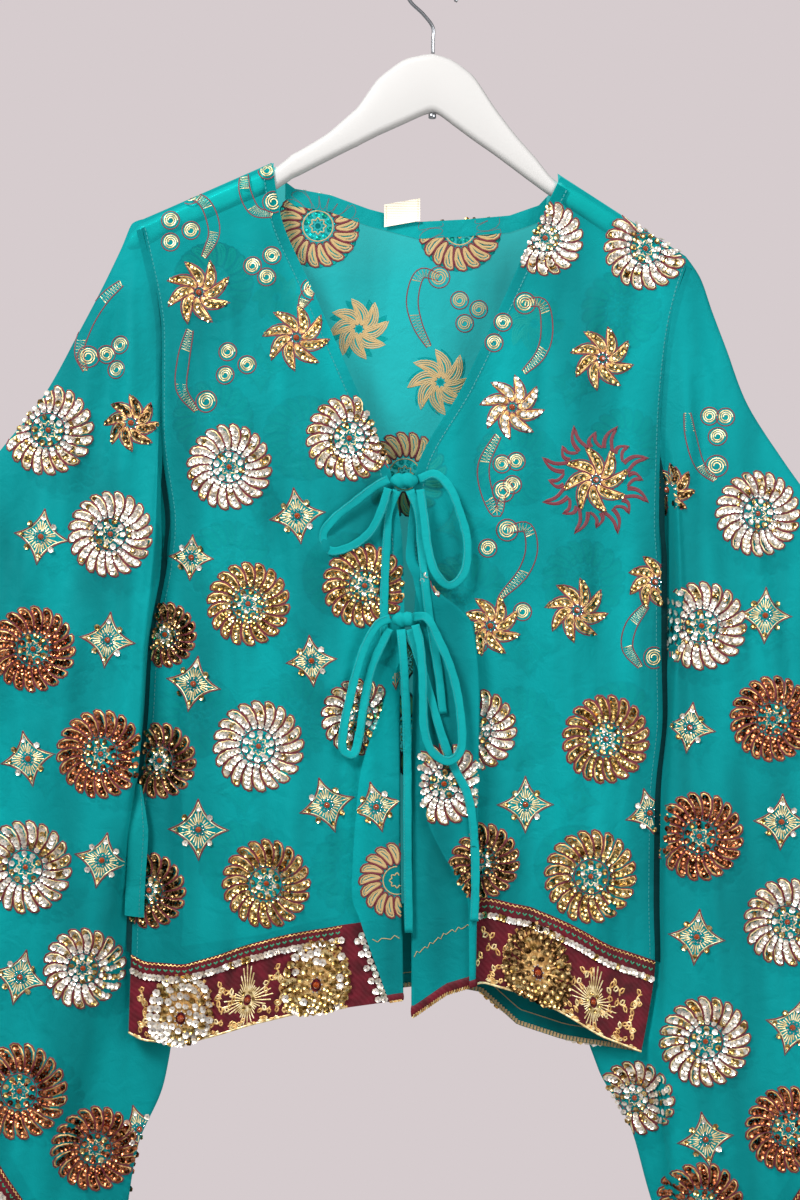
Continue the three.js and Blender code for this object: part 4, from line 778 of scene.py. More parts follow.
# How much of a fold's height each base column takes, from the top fold to the underarm fold.
FRONT_SHARE = [0, 0, 0, 1, 1, 1, 1, 1, 0.8, 0.2, 0, 0]
BACK_SHARE = [0, 0.2, 0.35, 0.5, 0.7, 0.8, 0.8, 0.8, 0.8, 0, 0, 0]


def ease(t):
    return t * t * (3 - 2 * t)


def upsample_ring(rings, steps):
    """Closed centripetal curves through the base points of every ring."""
    count = rings.shape[1]
    fine = []
    for i in range(count):
        p0, p1, p2, p3 = (rings[:, (i + k) % count] for k in (-1, 0, 1, 2))
        t1 = np.linalg.norm(p1 - p0, axis=1)[:, None] ** 0.5
        t2 = t1 + np.maximum(np.linalg.norm(p2 - p1, axis=1)[:, None], 1e-6) ** 0.5
        t3 = t2 + np.maximum(np.linalg.norm(p3 - p2, axis=1)[:, None], 1e-6) ** 0.5
        for u in np.arange(steps[i]) / steps[i]:
            t = t1 + (t2 - t1) * u
            a = p0 + (p1 - p0) * t / t1
            b = p1 + (p2 - p1) * (t - t1) / (t2 - t1)
            c = p2 + (p3 - p2) * (t - t2) / (t3 - t2)
            d = a + (b - a) * t / t2
            e = b + (c - b) * (t - t1) / (t3 - t1)
            fine.append(d + (e - d) * (t - t1) / (t2 - t1))
    return np.stack(fine, axis=1)


def sleeve_form(sections, front, back_seam, out, fold_lines, hem_z):
    column = {key: along_cloth(sections, key) for key in sections[0] if key != "rows"}
    rows = len(column["round"])
    seam_rows = [0, OVER_STEPS // 2] + [OVER_STEPS + FINE * k for k in range(SLEEVE_LAST - 1)]
    seam = front[seam_rows, 0]
    edge_z, edge_x = front[::-1, 0, 2], front[::-1, 0, 0]
    outer = np.stack([column["outer_x"], column["outer_z"]], axis=1)
    lobe = np.stack([column["lobe_x"], column["lobe_z"]], axis=1)
    inner = np.stack([column["inner_x"], column["inner_z"]], axis=1)
    down = unit(lobe - outer)
    bulge = column["round"]
    angles = np.radians([90, 45, 0])
    places = [outer] + [outer + down * (bulge * (1 - math.sin(a)))[:, None] for a in angles[1:]]
    for k in range(3, 9):
        share = (seam[k, 2] - seam[2, 2]) / (seam[8, 2] - seam[2, 2])
        place = places[2] + (lobe - places[2]) * share
        place[:, 0] += (seam[k, 0] - (seam[2, 0] + (seam[8, 0] - seam[2, 0]) * share)) * column["follow"]
        places.append(place)
    places += [lobe + (inner - lobe) * share for share in (0.3, 0.65, 1.0)]
    edge = places[9]
    near = out * np.interp(edge[:, 1], edge_z, edge_x) + SEAM_GAP
    edge[:, 0] = np.where(edge[:, 1] > hem_z, out * np.maximum(out * edge[:, 0], near), edge[:, 0])
    behind_body = out * inner[:, 0] < out * np.interp(inner[:, 1], edge_z, edge_x) + SEAM_GAP
    hidden = behind_body & (inner[:, 1] > hem_z)
    inner_y = column["inner"].copy()
    for row in np.nonzero(hidden)[0]:
        found = back_surface.hit(inner[row, 0], inner[row, 1], 1)
        if found:
            inner_y[row] = max(inner_y[row], found[0][1] + BODY_GAP)
    inner_y = np.convolve(np.pad(inner_y, 6, mode="edge"), np.ones(13) / 13, mode="valid")
    front_y, back_y = [np.zeros(rows)], [np.zeros(rows)]
    for k in range(1, SLEEVE_LAST + 1):
        if k <= 2:
            front_y.append(-bulge * math.cos(angles[k]))
            back_y.append(bulge * math.cos(angles[k]))
            continue
        if k <= 5:
            front_y.append(-bulge + (column["front"] + bulge) * ease((k - 2) / 3))
        elif k <= 8:
            front_y.append(column["front"] + (column["lobe"] - column["front"]) * ((k - 5) / 3) ** 2)
        else:
            front_y.append(LOBE_DEPTH + (inner_y - HALF_LAYERS - LOBE_DEPTH) * (k - 9) / 2)
        if k <= 6:
            back_y.append(bulge + (column["back"] - bulge) * ease((k - 2) / 4))
        else:
            back_y.append(column["back"] + (inner_y + HALF_LAYERS - column["back"]) * ((k - 6) / 5) ** 2)
    front_ring, back_ring = (np.stack([np.column_stack([p[:, 0], y, p[:, 1]]) for p, y in zip(places, depth)],
                                      axis=1) for depth in (front_y, back_y))
    rings = np.concatenate([front_ring, back_ring[:, :0:-1]], axis=1)
    seam_ring = np.concatenate([seam, back_seam[seam_rows][:0:-1]])
    blend = np.clip(1 - np.arange(rows) / FINE, 0, 1) ** 2
    rings += (seam_ring - rings[0])[None] * blend[:, None, None]
    fine = upsample_ring(rings, COLUMN_STEPS)
    weight = np.interp(np.arange(fine.shape[1]), np.concatenate([[0], np.cumsum(COLUMN_STEPS)]),
                       [-w for w in FRONT_SHARE] + BACK_SHARE)
    x = fine[:, :, 0] + np.where(weight > 0, BACK_FOLD_SHIFT, 0)[None]
    settle = np.clip(np.arange(rows) / FINE, 0, 1)[:, None]
    fine[:, :, 1] += fold_height(fold_lines, x, fine[:, :, 2]) * weight[None] * settle
    for row in range(2, rows):
        for k in range(sum(COLUMN_STEPS[:8]), sum(COLUMN_STEPS[:14])):
            px, py, pz = fine[row, k]
            if pz > hem_z and out * px < out * np.interp(pz, edge_z, edge_x) + 1.5:
                found = back_surface.hit(px, pz, 1)
                if found:
                    fine[row, k, 1] = max(py, found[0][1] + (1.8 if k < sum(COLUMN_STEPS[:11]) else 3.6))
    return fine


sleeve_left_cloth = sleeve_form(SLEEVE_LEFT, front_left_cloth, back_cloth[:, 0], -1,
                                FOLDS_SLEEVE_LEFT + CREASES_SLEEVE_LEFT, -846)
sleeve_right_cloth = sleeve_form(SLEEVE_RIGHT, front_right_cloth, back_cloth[:, -1], 1,
                                 FOLDS_SLEEVE_RIGHT + CREASES_SLEEVE_RIGHT, -861)
print("sleeve rings:", sleeve_left_cloth.shape, sleeve_right_cloth.shape)

# %% [markdown]
# Each form becomes one thin sheet of georgette. Its flat size is the piece of cloth it was cut
# from, and its area what that cut keeps of the rectangle after the armhole and neck are taken out.
# A very narrow strip is stated as 10 mm wide, the least that a sheet can be.

# %% The five cloth panels
def spread_size(grid, closed=False):
    """The longest way down, the widest way across and the area of a cloth form, in metres."""
    down = np.linalg.norm(np.diff(grid, axis=0), axis=2).sum(axis=0).max()
    ring = joined(grid, closed)
    across = np.linalg.norm(np.diff(ring, axis=1), axis=2).sum(axis=1).max()
    a, b = ring[1:, 1:] - ring[:-1, :-1], ring[1:, :-1] - ring[:-1, 1:]
    area = np.linalg.norm(np.cross(a, b), axis=2).sum() / 2
    return down * MM, across * MM, area * MM * MM


LEAST_WIDTH = 0.0102


def cloth_sheet(name, grid, replaces, material, closed=False):
    faces = grid_faces(*grid.shape[:2], closed)
    piece = make_piece(name, grid.reshape(-1, 3), faces, material, replaces)
    down, across, area = spread_size(grid, closed)
    across = max(across, LEAST_WIDTH)
    print(f"{name}: cut {across * 1000:.0f} x {down * 1000:.0f} mm, {area * 1e4:.0f} cm2")


# %% [markdown]
# Where two layers are sewn together the sheer cloth looks darker. The facings of the neck and front
# edges are narrow strips of doubled georgette just inside their panels, held by small stitches. The
# allowances of the armhole and side seams reach a little past the seam and take the darkest cloth:
# partly their several layers, partly painted shade of the recess between body and sleeve.

# %% Facings, seam allowances and their stitches
# The seams' thread is a shade deeper than the ribbons', and disappears at arm's length.
seam_thread, _ = new_material("polyester_seam_thread", "#0B7476", 0.55)

STITCH_HALF, STITCH_LIFT = 0.35, 0.1


def stitch_row(name, line, normals, pitch=3.4, length=2.1, height=0.3,
               thread=seam_thread):
    """Short raised dashes along a line on the cloth."""
    run = run_along(line)
    points, faces = [], []
    for start in np.arange(1.0, run[-1] - length, pitch):
        ends = [np.array([np.interp(at, run, line[:, axis]) for axis in range(3)])
                for at in (start, start + length)]
        up = np.array([np.interp(start, run, normals[:, axis]) for axis in range(3)])
        side = unit(np.cross(ends[1] - ends[0], up)) * STITCH_HALF
        low, high = up * STITCH_LIFT, up * (STITCH_LIFT + height)
        faces += (DASH_FACES + len(points)).tolist()
        for end in ends:
            points += [end - side + low, end + high, end + side + low]
    return make_piece(name, points, faces, thread)


def strip(name, grid, rows, columns, side, depth, replaces=(), stitch_column=None, past=0.0,
          cloth=georgette_doubled):
    """A strip under part of a panel, with its stitches; past lets it reach over the seam."""
    under = lifted(grid, side, -depth)[rows, columns]
    if past:
        over_seam = under[:, :1] + past * unit(under[:, :1] - under[:, 1:2])
        under = np.concatenate([over_seam, under], axis=1)
    if stitch_column is not None:
        normals = outward(grid, side)
        stitch_row(name + "_stitches", grid[rows, stitch_column], normals[rows, stitch_column])
    cloth_sheet(name, under, replaces, cloth)


for name, grid in (("front_left", front_left_cloth), ("front_right", front_right_cloth),
                   ("back", back_cloth)):
    cloth_sheet(name + "_cloth", grid, [name], georgette)
for name, grid in (("sleeve_left", sleeve_left_cloth), ("sleeve_right", sleeve_right_cloth)):
    cloth_sheet(name + "_cloth", grid, [name + "_front", name + "_back"], georgette, closed=True)

FACING_DEPTH, ALLOWANCE_DEPTH, PAST_SEAM = 0.8, 0.5, 5.0
NECK_TO_TIE = slice(OVER_STEPS + 1, OVER_STEPS + 10 * FINE)
ARM = slice(OVER_STEPS, OVER_STEPS + 9 * FINE + 1)
SIDE = slice(OVER_STEPS + 9 * FINE, len(front_left_cloth) - 2 * FINE)
strip("facing_front_left_cloth", front_left_cloth, NECK_TO_TIE, slice(ACROSS + 1, None), LEFT_OUT,
      FACING_DEPTH, ["facing_front_left"], ACROSS + 2)
strip("facing_front_right_cloth", front_right_cloth, NECK_TO_TIE, slice(-17, None), RIGHT_OUT,
      FACING_DEPTH, ["facing_front_right"], -15)
strip("facing_back_neck_cloth", back_cloth, slice(0, OVER_STEPS + 2), slice(26, 55), BACK_OUT,
      FACING_DEPTH, ["facing_back_neck"])
# The armhole and side allowances carry the painted recess shade, seen as a dark line just past each seam.
for label, grid, side in (("left", front_left_cloth, LEFT_OUT), ("right", front_right_cloth, RIGHT_OUT)):
    for seam, rows in (("armhole", ARM), ("side", SIDE)):
        strip(f"{seam}_allowance_{label}", grid, rows, slice(0, 2), side, ALLOWANCE_DEPTH,
              stitch_column=1, past=PAST_SEAM, cloth=georgette_painted_recess_shade)

# %% [markdown]
# The borders at the hem and cuffs are strips of dense burgundy thread on a backing, sewn over the
# last of each panel. The thread is satin stitch, laid side by side, so the shader has fine ridges
# across the strip and a low shine. Ridges of the real 0.5 mm would blur, so they are drawn at 1.2.

# %% Border strips
THREAD_PITCH = 1.2
border_thread, border_shader = new_material("burgundy_satin_stitch", "#520815", 0.65)
border_shader.inputs["Specular IOR Level"].default_value = 0.2
border_place = add_node(border_thread, "ShaderNodeTexCoord").outputs["Object"]
laid = add_node(border_thread, "ShaderNodeTexWave",
                {"Vector": border_place, "Scale": 1 / (THREAD_PITCH * MM) / 6.3, "Distortion": 2.5,
                 "Detail": 2.0},
                bands_direction="DIAGONAL")
laid_tone = add_node(border_thread, "ShaderNodeTexNoise",
                     {"Vector": border_place, "Scale": 90.0, "Detail": 3.0})
laid_ramp = add_node(border_thread, "ShaderNodeValToRGB", {"Fac": laid_tone.outputs["Fac"]})
fill_ramp(laid_ramp, (0.35, "#3C060E"), (0.65, "#580B1A"))
link(border_thread, laid_ramp.outputs["Color"], border_shader.inputs["Base Color"])
laid_bump = add_node(border_thread, "ShaderNodeBump",
                     {"Height": laid.outputs["Fac"], "Strength": 0.22, "Distance": 0.0006})
link(border_thread, laid_bump.outputs["Normal"], border_shader.inputs["Normal"])

BORDER_LIFT = 0.8
BORDER_ROWS = slice(-2 * FINE - 1, None)
border_left_grid = lifted(front_left_cloth, LEFT_OUT, BORDER_LIFT)[BORDER_ROWS, :ACROSS + 1]
border_right_grid = lifted(front_right_cloth, RIGHT_OUT, BORDER_LIFT)[BORDER_ROWS, :ACROSS + 1]
border_back_grid = lifted(back_cloth, BACK_OUT, BORDER_LIFT)[BORDER_ROWS]
cuff_left_grid = lifted(sleeve_left_cloth, LEFT_OUT, BORDER_LIFT, True)[BORDER_ROWS]
cuff_right_grid = lifted(sleeve_right_cloth, RIGHT_OUT, BORDER_LIFT, True)[BORDER_ROWS]
for name, grid in (("border_front_left", border_left_grid), ("border_front_right", border_right_grid),
                   ("border_back", border_back_grid), ("cuff_border_left", cuff_left_grid),
                   ("cuff_border_right", cuff_right_grid)):
    cloth_sheet(name + "_strip", grid, [name], border_thread, closed=name.startswith("cuff"))

# %% [markdown]
# The needlework is real relief. A maker lays sequins by hand, each held by a stitch through its
# hole, and couches gold thread (zari) beside them. Photographs would freeze that light, so every
# sequin is a small cupped disc with a hole and its own tilt, and each thread is a raised ridge.
# All that is sewn on one panel in one finish is joined in one mesh.

# %% Finishes of the needlework
def glitter(name, hex_light, hex_dark, hex_middle, roughness, metallic=1.0):
    """Punched film or metal thread: the tone shifts from one to the next, as from mixed cards."""
    material, shader = new_material(name, hex_light, roughness, metallic)
    place = add_node(material, "ShaderNodeTexCoord").outputs["Object"]
    mixed = add_node(material, "ShaderNodeTexNoise", {"Vector": place, "Scale": 260.0, "Detail": 1.0})
    ramp = add_node(material, "ShaderNodeValToRGB", {"Fac": mixed.outputs["Fac"]})
    fill_ramp(ramp, (0.36, hex_dark), (0.64, hex_light))
    ramp.color_ramp.elements.new(0.5).color = linear(hex_middle)
    link(material, ramp.outputs["Color"], shader.inputs["Base Color"])
    return material


# The films mirror the studio's panels, so they flash pale and dark; zari is metal foil wound on silk,
# so it is duller and only partly metal; cotton and bobbin threads are matt.
FINISHES = {
    "silver": glitter("silver_sequin_film", "#F8F4EE", "#C2BCB8", "#E8DBC8", 0.32, 0.8),
    "gold": glitter("gold_sequin_film", "#EAD29A", "#80602F", "#B99455", 0.24),
    "bronze": glitter("bronze_sequin_film", "#B09060", "#3A2614", "#6E5030", 0.26),
    "copper": glitter("copper_sequin_film", "#CF8258", "#3E1C10", "#86492C", 0.24),
    "zari": glitter("antique_gold_zari_thread", "#DDB878", "#9A7038", "#BE945A", 0.45, 0.55),
    "pale_zari": glitter("pale_gold_zari_thread", "#E8D8AC", "#AE9664", "#CFB986", 0.45, 0.5),
    "burgundy": new_material("burgundy_couching_thread", "#5E1020", 0.6)[0],
    "green": new_material("green_chain_stitch_thread", "#1F7A5A", 0.6)[0],
    "tan": new_material("tan_backing_thread", "#B0956A", 0.75)[0],
    "wrong_side": new_material("wrong_side_bobbin_thread", "#A08658", 0.6)[0],
    "beads": new_material("silver_lined_seed_beads", "#D9DBDD", 0.18, 0.9)[0],
}
# Moulded glass has a second clear gloss over its deep colour, which gives each stone one hard spark.
amber, amber_shader = new_material("amber_glass_cabochon", "#7C2E08", 0.08)
amber_shader.inputs["Coat Weight"].default_value = 0.6
amber_shader.inputs["Coat Roughness"].default_value = 0.05
FINISHES["amber"] = amber
print("finishes:", ", ".join(FINISHES))

# %% [markdown]
# Each stitch starts as a flat place on the pattern and is dropped straight on to the cloth, the way
# a pricked pattern is laid on it. Where the drop misses, or meets another run of the cloth, nothing
# is sewn, so a flower stops at a seam or a fold as the cut cloth does. On the wrong side of the
# cloth only thread shows. A zone names the run of a front that is sewn on: its panel, the wrong side
# turned out at its edge, that side with sequins that show through, or the top run of the pleat.

# %% Sewing on to a panel
PLEAT_TOP_COLUMN = ACROSS + 20
PLEAT_TOP_Z = -466
LEAST_FACING = 0.25
LEAST_FACING_BEHIND = 0.7
LONGEST_STEP = 7.0
SEQUIN_FACES = grid_faces(3, 6, closed=True)


def circle_across(axis, angles):
    """Points of a unit circle that lies square to an axis."""
    u = unit(np.cross(axis, [0.3, 0.2, 1.0]))
    return np.outer(np.cos(angles), u) + np.outer(np.sin(angles), np.cross(axis, u))


class Sewing:
    """All that is sewn on one panel, kept by finish until it is joined."""
    def __init__(self, name, grid, side, closed=False, slot_name="georgette"):
        self.name, self.side, self.slot_name = name, side, slot_name
        self.surface = Surface(grid, closed)
        self.meshes = {}
        self.random = random.Random(len(name) * 7 + 3)

    def add(self, finish, points, faces):
        store = self.meshes.setdefault(finish, [[], [], 0])
        store[0].append(np.asarray(points))
        store[1].append(np.asarray(faces) + store[2])
        store[2] += len(points)

    def drop(self, x, z, facing=-1, zone="panel"):
        """Place, normal and whether the right side shows, or None where nothing is sewn."""
        found = self.surface.hit(x, z, facing, self.side)
        if found is None:
            return None
        place, normal, column, right_side = found
        pleat_top = column > PLEAT_TOP_COLUMN and z < PLEAT_TOP_Z and self.name == "front_right"
        if abs(normal[1]) < (LEAST_FACING_BEHIND if facing > 0 else LEAST_FACING):
            return None
        if zone == "panel" and (not right_side or pleat_top):
            return None
        if zone == "top" and not (right_side and pleat_top):
            return None
        if zone in ("turned", "shown") and right_side:
            return None
        return place, normal, right_side

    def thread(self, finish, path, width=0.8, facing=-1, zone="panel", height=0.45):
        """A ridge along a flat path, broken wherever the cloth ends or steps away."""
        run, last = [], None
        for x, z in list(path) + [(None, None)]:
            found = None if x is None else self.drop(x, z, facing, zone)
            step = found is not None and last is not None and np.linalg.norm(found[0] - last) > LONGEST_STEP
            if found is None or step:
                self.ridge(finish, run, width, height)
                run = []
            last = None
            if found is not None:
                run.append(found)
                last = found[0]

    def ridge(self, finish, run, width, height):
        if len(run) < 2:
            return
        places = np.array([found[0] for found in run])
        ups = np.array([found[1] for found in run])
        across = unit(np.cross(np.gradient(places, axis=0), ups)) * (width / 2)
        low, high = ups * 0.12, ups * (0.12 + height)
        points = np.stack([places - across + low, places + high, places + across + low], axis=1)
        k = np.arange(len(run) - 1)[:, None] * 3
        faces = np.concatenate([k + np.array([0, 1, 4, 3]), k + np.array([1, 2, 5, 4])])
        self.add(finish, points.reshape(-1, 3), faces)

    def disc(self, finish, x, z, radius, lean=(0.0, 0.0), facing=-1, zone="panel"):
        found = self.drop(x, z, facing, zone)
        if found is not None and (found[2] or zone == "shown"):
            self.disc_at(finish, found[0], found[1], radius, lean)

    def disc_at(self, finish, place, up, radius, lean=(0.0, 0.0), lift=0.75, jitter=0.19):
        """A cupped sequin with its hole, tilted by a given lean and by chance."""
        chance = self.random
        tilt = np.array([lean[0] + chance.gauss(0, jitter), 0, lean[1] + chance.gauss(0, jitter)])
        axis = unit(up + tilt - up * np.dot(tilt, up))
        ring = circle_across(axis, np.arange(6) * math.pi / 3 + chance.random()) * radius
        centre = place + up * (lift + chance.random() * 0.3)
        points = [centre + ring + axis * 0.28 * radius, centre + ring * 0.5, centre + ring * 0.16]
        self.add(finish, np.concatenate(points), SEQUIN_FACES)

    def dome(self, finish, x, z, radius, height=0.8, facing=-1, zone="panel", lift=0.5, sides=8):
        found = self.drop(x, z, facing, zone)
        if found is not None and (found[2] or zone == "shown"):
            self.dome_at(finish, found[0], found[1], radius, height, lift, sides)

    def dome_at(self, finish, place, up, radius, height=0.8, lift=0.5, sides=8):
        """A bead or a stone: a low dome with a flat top."""
        ring = circle_across(up, np.arange(sides) * 2 * math.pi / sides) * radius
        base = place + up * (lift - 0.4)
        rise = radius * height
        points = np.concatenate([base + ring, base + ring * 0.85 + up * (0.4 + rise * 0.5),
                                 base + ring * 0.4 + up * (0.4 + rise * 0.95)])
        self.add(finish, points, grid_faces(3, sides, closed=True))
        self.add(finish, points[2 * sides:], [[0, i, i + 1, i + 2] for i in range(1, sides - 2, 2)])

    def finish(self):
        total = 0
        for finish, (points, faces, _) in self.meshes.items():
            make_piece(f"{self.name}_{finish}", np.concatenate(points), np.concatenate(faces).tolist(),
                       FINISHES[finish])
            total += 2 * sum(map(len, faces))
        print(f"{self.name}: {len(self.meshes)} finishes, about {total} triangles")


# %% [markdown]
# The flowers come from Mughal-style garden patterns that many workshops share. A medallion has
# eighteen or twenty capsule petals with a slight swirl, each a row of overlapping sequins between
# two lines of thread; the middle is an amber stone in a ring of seed beads on bare cloth. Stars are
# rays of pale thread, and pinwheels curved leaves. Each is a formula, so one size fits any place.

# %% Flower patterns
def turned(x, z, points, angle=0.0):
    c, s = math.cos(angle), math.sin(angle)
    return [(x + u * c - v * s, z + u * s + v * c) for u, v in points]


def around(x, z, radius, angle):
    return x + radius * math.cos(angle), z + radius * math.sin(angle)


def full_circle(radius, count):
    return [around(0, 0, radius, a) for a in np.linspace(0, 2 * math.pi, count)]


def petal_outline(r0, r1, half_in, half_out, swirl, grow=0.0, count=12):
    """A capsule from radius r0 to r1 that widens outward and leans to one side."""
    points = []
    for k in range(count + 1):
        a = 2 * math.pi * k / count
        t = 0.5 - 0.5 * math.copysign(abs(math.cos(a)) ** 0.75, math.cos(a))
        side = math.copysign(abs(math.sin(a)) ** 0.75, math.sin(a))
        r = r0 - grow + (r1 - r0 + 2 * grow) * t
        half = half_in + (half_out - half_in) * t + grow
        points += turned(0, 0, [(r, side * half)], swirl * t * t)
    return points


def stone(sewing, x, z, where, size=2.3, ring=9, spread_out=4.0):
    """An amber stone in a ring of beads; where holds the facing and the zone of a flower."""
    sewing.dome("amber", x, z, size, 0.9, sides=10, **where)
    for k in range(ring):
        bead_x, bead_z = around(x, z, spread_out, 2 * math.pi * k / ring)
        sewing.dome("beads", bead_x, bead_z, 0.85, 1.0, sides=6, **where)


# %% [markdown]
# A medallion is worked petal by petal: the burgundy outline, a gold line inside it, then the sequins
# from the middle outward, each lying on the one before. On the wrong side only the lines show.

# %% Medallion
MIXED = {"silver_gold": ("silver", "gold"), "burgundy_gold": ("gold", "gold")}
SWIRL = 0.2


def medallion(sewing, x, z, radius, finish, zone="panel", facing=-1):
    bright = MIXED.get(finish, (finish, finish))
    chance, where = sewing.random, {"facing": facing, "zone": zone}
    petals = 20 if radius > 33 else 18
    start = chance.random() * math.pi
    r0, r1 = radius * 0.4, radius * 0.985
    half_out, half_in = math.pi * r1 * 0.93 / petals, math.pi * r0 * 1.02 / petals
    wrong = zone == "turned"
    thread = "wrong_side" if wrong else "pale_zari" if finish.startswith("silver") else "zari"
    steps = 6 if facing < 0 else 5
    for k in range(petals):
        angle = start + 2 * math.pi * k / petals
        edge = turned(x, z, petal_outline(r0, r1, half_in, half_out, SWIRL), angle)
        sewing.thread("burgundy", edge, 1.7 if finish == "burgundy_gold" else 1.15, height=0.9, **where)
        couched = turned(x, z, petal_outline(r0, r1, half_in, half_out, SWIRL, grow=-1.2), angle)
        sewing.thread(thread, couched, 1.4, height=0.6, **where)
        if wrong:
            middle = petal_outline(r0 + 2, r1 - 3, half_in * 0.4, half_out * 0.35, SWIRL, count=8)
            sewing.thread("wrong_side", turned(x, z, middle, angle), 1.6, **where)
            continue
        for step in range(steps):
            t = (step + 0.45) / steps
            bend = angle + SWIRL * t * t
            size = min((half_in + (half_out - half_in) * t) * 0.9, 2.75) * chance.uniform(0.92, 1.06)
            kind = bright[1] if bright[0] != bright[1] and chance.random() < 0.3 else bright[0]
            if finish == "silver" and chance.random() < 0.1:
                kind = "gold"
            disc_x, disc_z = around(x, z, r0 + (r1 - 2.2 - r0) * t, bend)
            sewing.disc(kind, disc_x, disc_z, size, around(0, 0, -0.2, bend), **where)
    ring = turned(x, z, full_circle(radius * 0.36, 25))
    sewing.thread("wrong_side" if wrong else "burgundy", ring, 0.9, **where)
    scalloped = [around(0, 0, radius * (0.17 + 0.03 * math.cos(8 * a)), a)
                 for a in np.linspace(0, 2 * math.pi, 33)]
    sewing.thread("wrong_side" if wrong else "pale_zari", turned(x, z, scalloped), 0.9, **where)
    if wrong:
        return
    for k in range(10):
        kind = "gold" if chance.random() < 0.5 else bright[0]
        disc_x, disc_z = around(x, z, radius * 0.29, start + 2 * math.pi * (k + 0.5) / 10)
        sewing.disc(kind, disc_x, disc_z, 2.5, **where)
    for k in range(5):
        disc_x, disc_z = around(x, z, radius * 0.2, start + 2 * math.pi * (k + 0.2) / 5)
        sewing.disc("silver" if finish != "copper" else "copper", disc_x, disc_z, 1.9, **where)
    stone(sewing, x, z, where)


# %% [markdown]
# A star is outlined by four curves that bend inward, each from one tip to the next, and filled with
# loose rays of pale thread. Every ray starts and ends a little differently, as hand work does.

# %% Star
def star(sewing, x, z, radius, zone="panel", facing=-1):
    """Four concave sides between long tips, filled with rays of pale gold thread."""
    chance, where = sewing.random, {"facing": facing, "zone": zone}
    wrong = zone == "turned"
    pale = "wrong_side" if wrong else "pale_zari"
    edge = []
    for k in range(4):
        a = math.pi / 2 * (k + 1)
        tip, next_tip = around(0, 0, radius, a), around(0, 0, radius, a + math.pi / 2)
        waist = around(0, 0, radius * 0.32, a + math.pi / 4)
        for t in np.linspace(0, 1, 9, endpoint=False):
            edge.append(tuple((1 - t) ** 2 * p + 2 * t * (1 - t) * w + t * t * n
                              for p, w, n in zip(tip, waist, next_tip)))
    edge.append(edge[0])
    lean = chance.uniform(-0.3, 0.3)
    sewing.thread("burgundy", turned(x, z, edge, lean), 1.0, height=0.5, **where)
    inner = [(u * 0.9, v * 0.9) for u, v in edge]
    sewing.thread(pale, turned(x, z, inner, lean), 0.7, **where)
    for i, (u, v) in enumerate(edge[:-1]):
        if i % 9 in (1, 8):
            continue
        reach, first = math.hypot(u, v), chance.uniform(4.6, 6.6)
        line = [(u * s, v * s) for s in np.linspace(first / reach, chance.uniform(0.72, 0.86), 3)]
        sewing.thread(pale, turned(x, z, line, lean), 0.95, height=0.3, **where)
    if wrong:
        return
    stone(sewing, x, z, where, 2.5, 9, 4.2)
    for k in range(4):
        kind = "silver" if chance.random() < 0.4 else "gold"
        disc_x, disc_z = around(x, z, radius * 0.58, math.pi / 4 + math.pi / 2 * k + lean)
        sewing.disc(kind, disc_x, disc_z, 2.5, **where)
    for k, a in enumerate((math.pi / 2, math.pi, -math.pi / 2)):
        disc_x, disc_z = around(x, z, radius * 0.66, a + lean)
        sewing.disc("gold" if k else "silver", disc_x, disc_z, 2.0, **where)


# %% [markdown]
# A pinwheel has eight curved leaves round a stone, each three outlines deep with a row of sequins.
# The large one on the right front stands in two rings of burgundy flames.

# %% Pinwheel and sunburst
def leaf(r0, r1, scale=1.0, half=5.2, curve=0.75, count=14):
    points = []
    for k in range(count + 1):
        t = 1 - abs(1 - 2 * k / count)
        side = 1 if k <= count / 2 else -1
        wide = side * half * scale * math.sin(math.pi * min(t, 0.999) ** 0.8) ** 0.8
        points += turned(0, 0, [(r0 + (r1 - r0) * t, wide)], curve * t)
    return points


def pinwheel(sewing, x, z, radius, finish, zone="panel", facing=-1, petals=8):
    wrong, where = zone == "turned", {"facing": facing, "zone": zone}
    edge, fill = ("wrong_side", "wrong_side") if wrong else ("burgundy", "zari")
    start = sewing.random.random()
    for k in range(petals):
        angle = start + 2 * math.pi * k / petals
        sewing.thread(edge, turned(x, z, leaf(3.5, radius), angle), 1.1, **where)
        sewing.thread(fill, turned(x, z, leaf(4.5, radius * 0.93, 0.66), angle), 1.2, **where)
        sewing.thread(fill, turned(x, z, leaf(5.5, radius * 0.86, 0.3), angle), 1.3, **where)
        if wrong:
            continue
        for t in (0.3, 0.5, 0.7, 0.87):
            disc_x, disc_z = around(x, z, 3.5 + (radius - 3.5) * t, angle + 0.75 * t)
            sewing.disc(finish, disc_x, disc_z, 2.5 if t < 0.8 else 1.8, **where)
    if not wrong:
        stone(sewing, x, z, where, 2.6, 8, 4.3)


def sunburst(sewing, x, z):
    """A gold spiral flower inside two rings of burgundy flame outlines."""
    pinwheel(sewing, x, z, 27, "gold")
    out, back = np.linspace(0, 1, 7), np.linspace(1, 0, 7)[1:]
    for k in range(16):
        reach = 44 if k % 2 else 36
        for grow in (0.0, 1.6):
            flame = [(25 + (reach - 25) * t + grow * 0.4,
                      side * (4.6 - grow) * (1 - t) ** 0.7 + 3.2 * math.sin(math.pi * t))
                     for side, shares in ((-1, out), (1, back)) for t in shares]
            sewing.thread("burgundy", turned(x, z, flame, 2 * math.pi * k / 16), 1.9, height=0.6)


# %% [markdown]
# Between the flowers run small scrolls: an S of thread laid in zigzag between two edges, and round
# coils alone or in threes. They are thread only, so they lie flatter than the flowers.

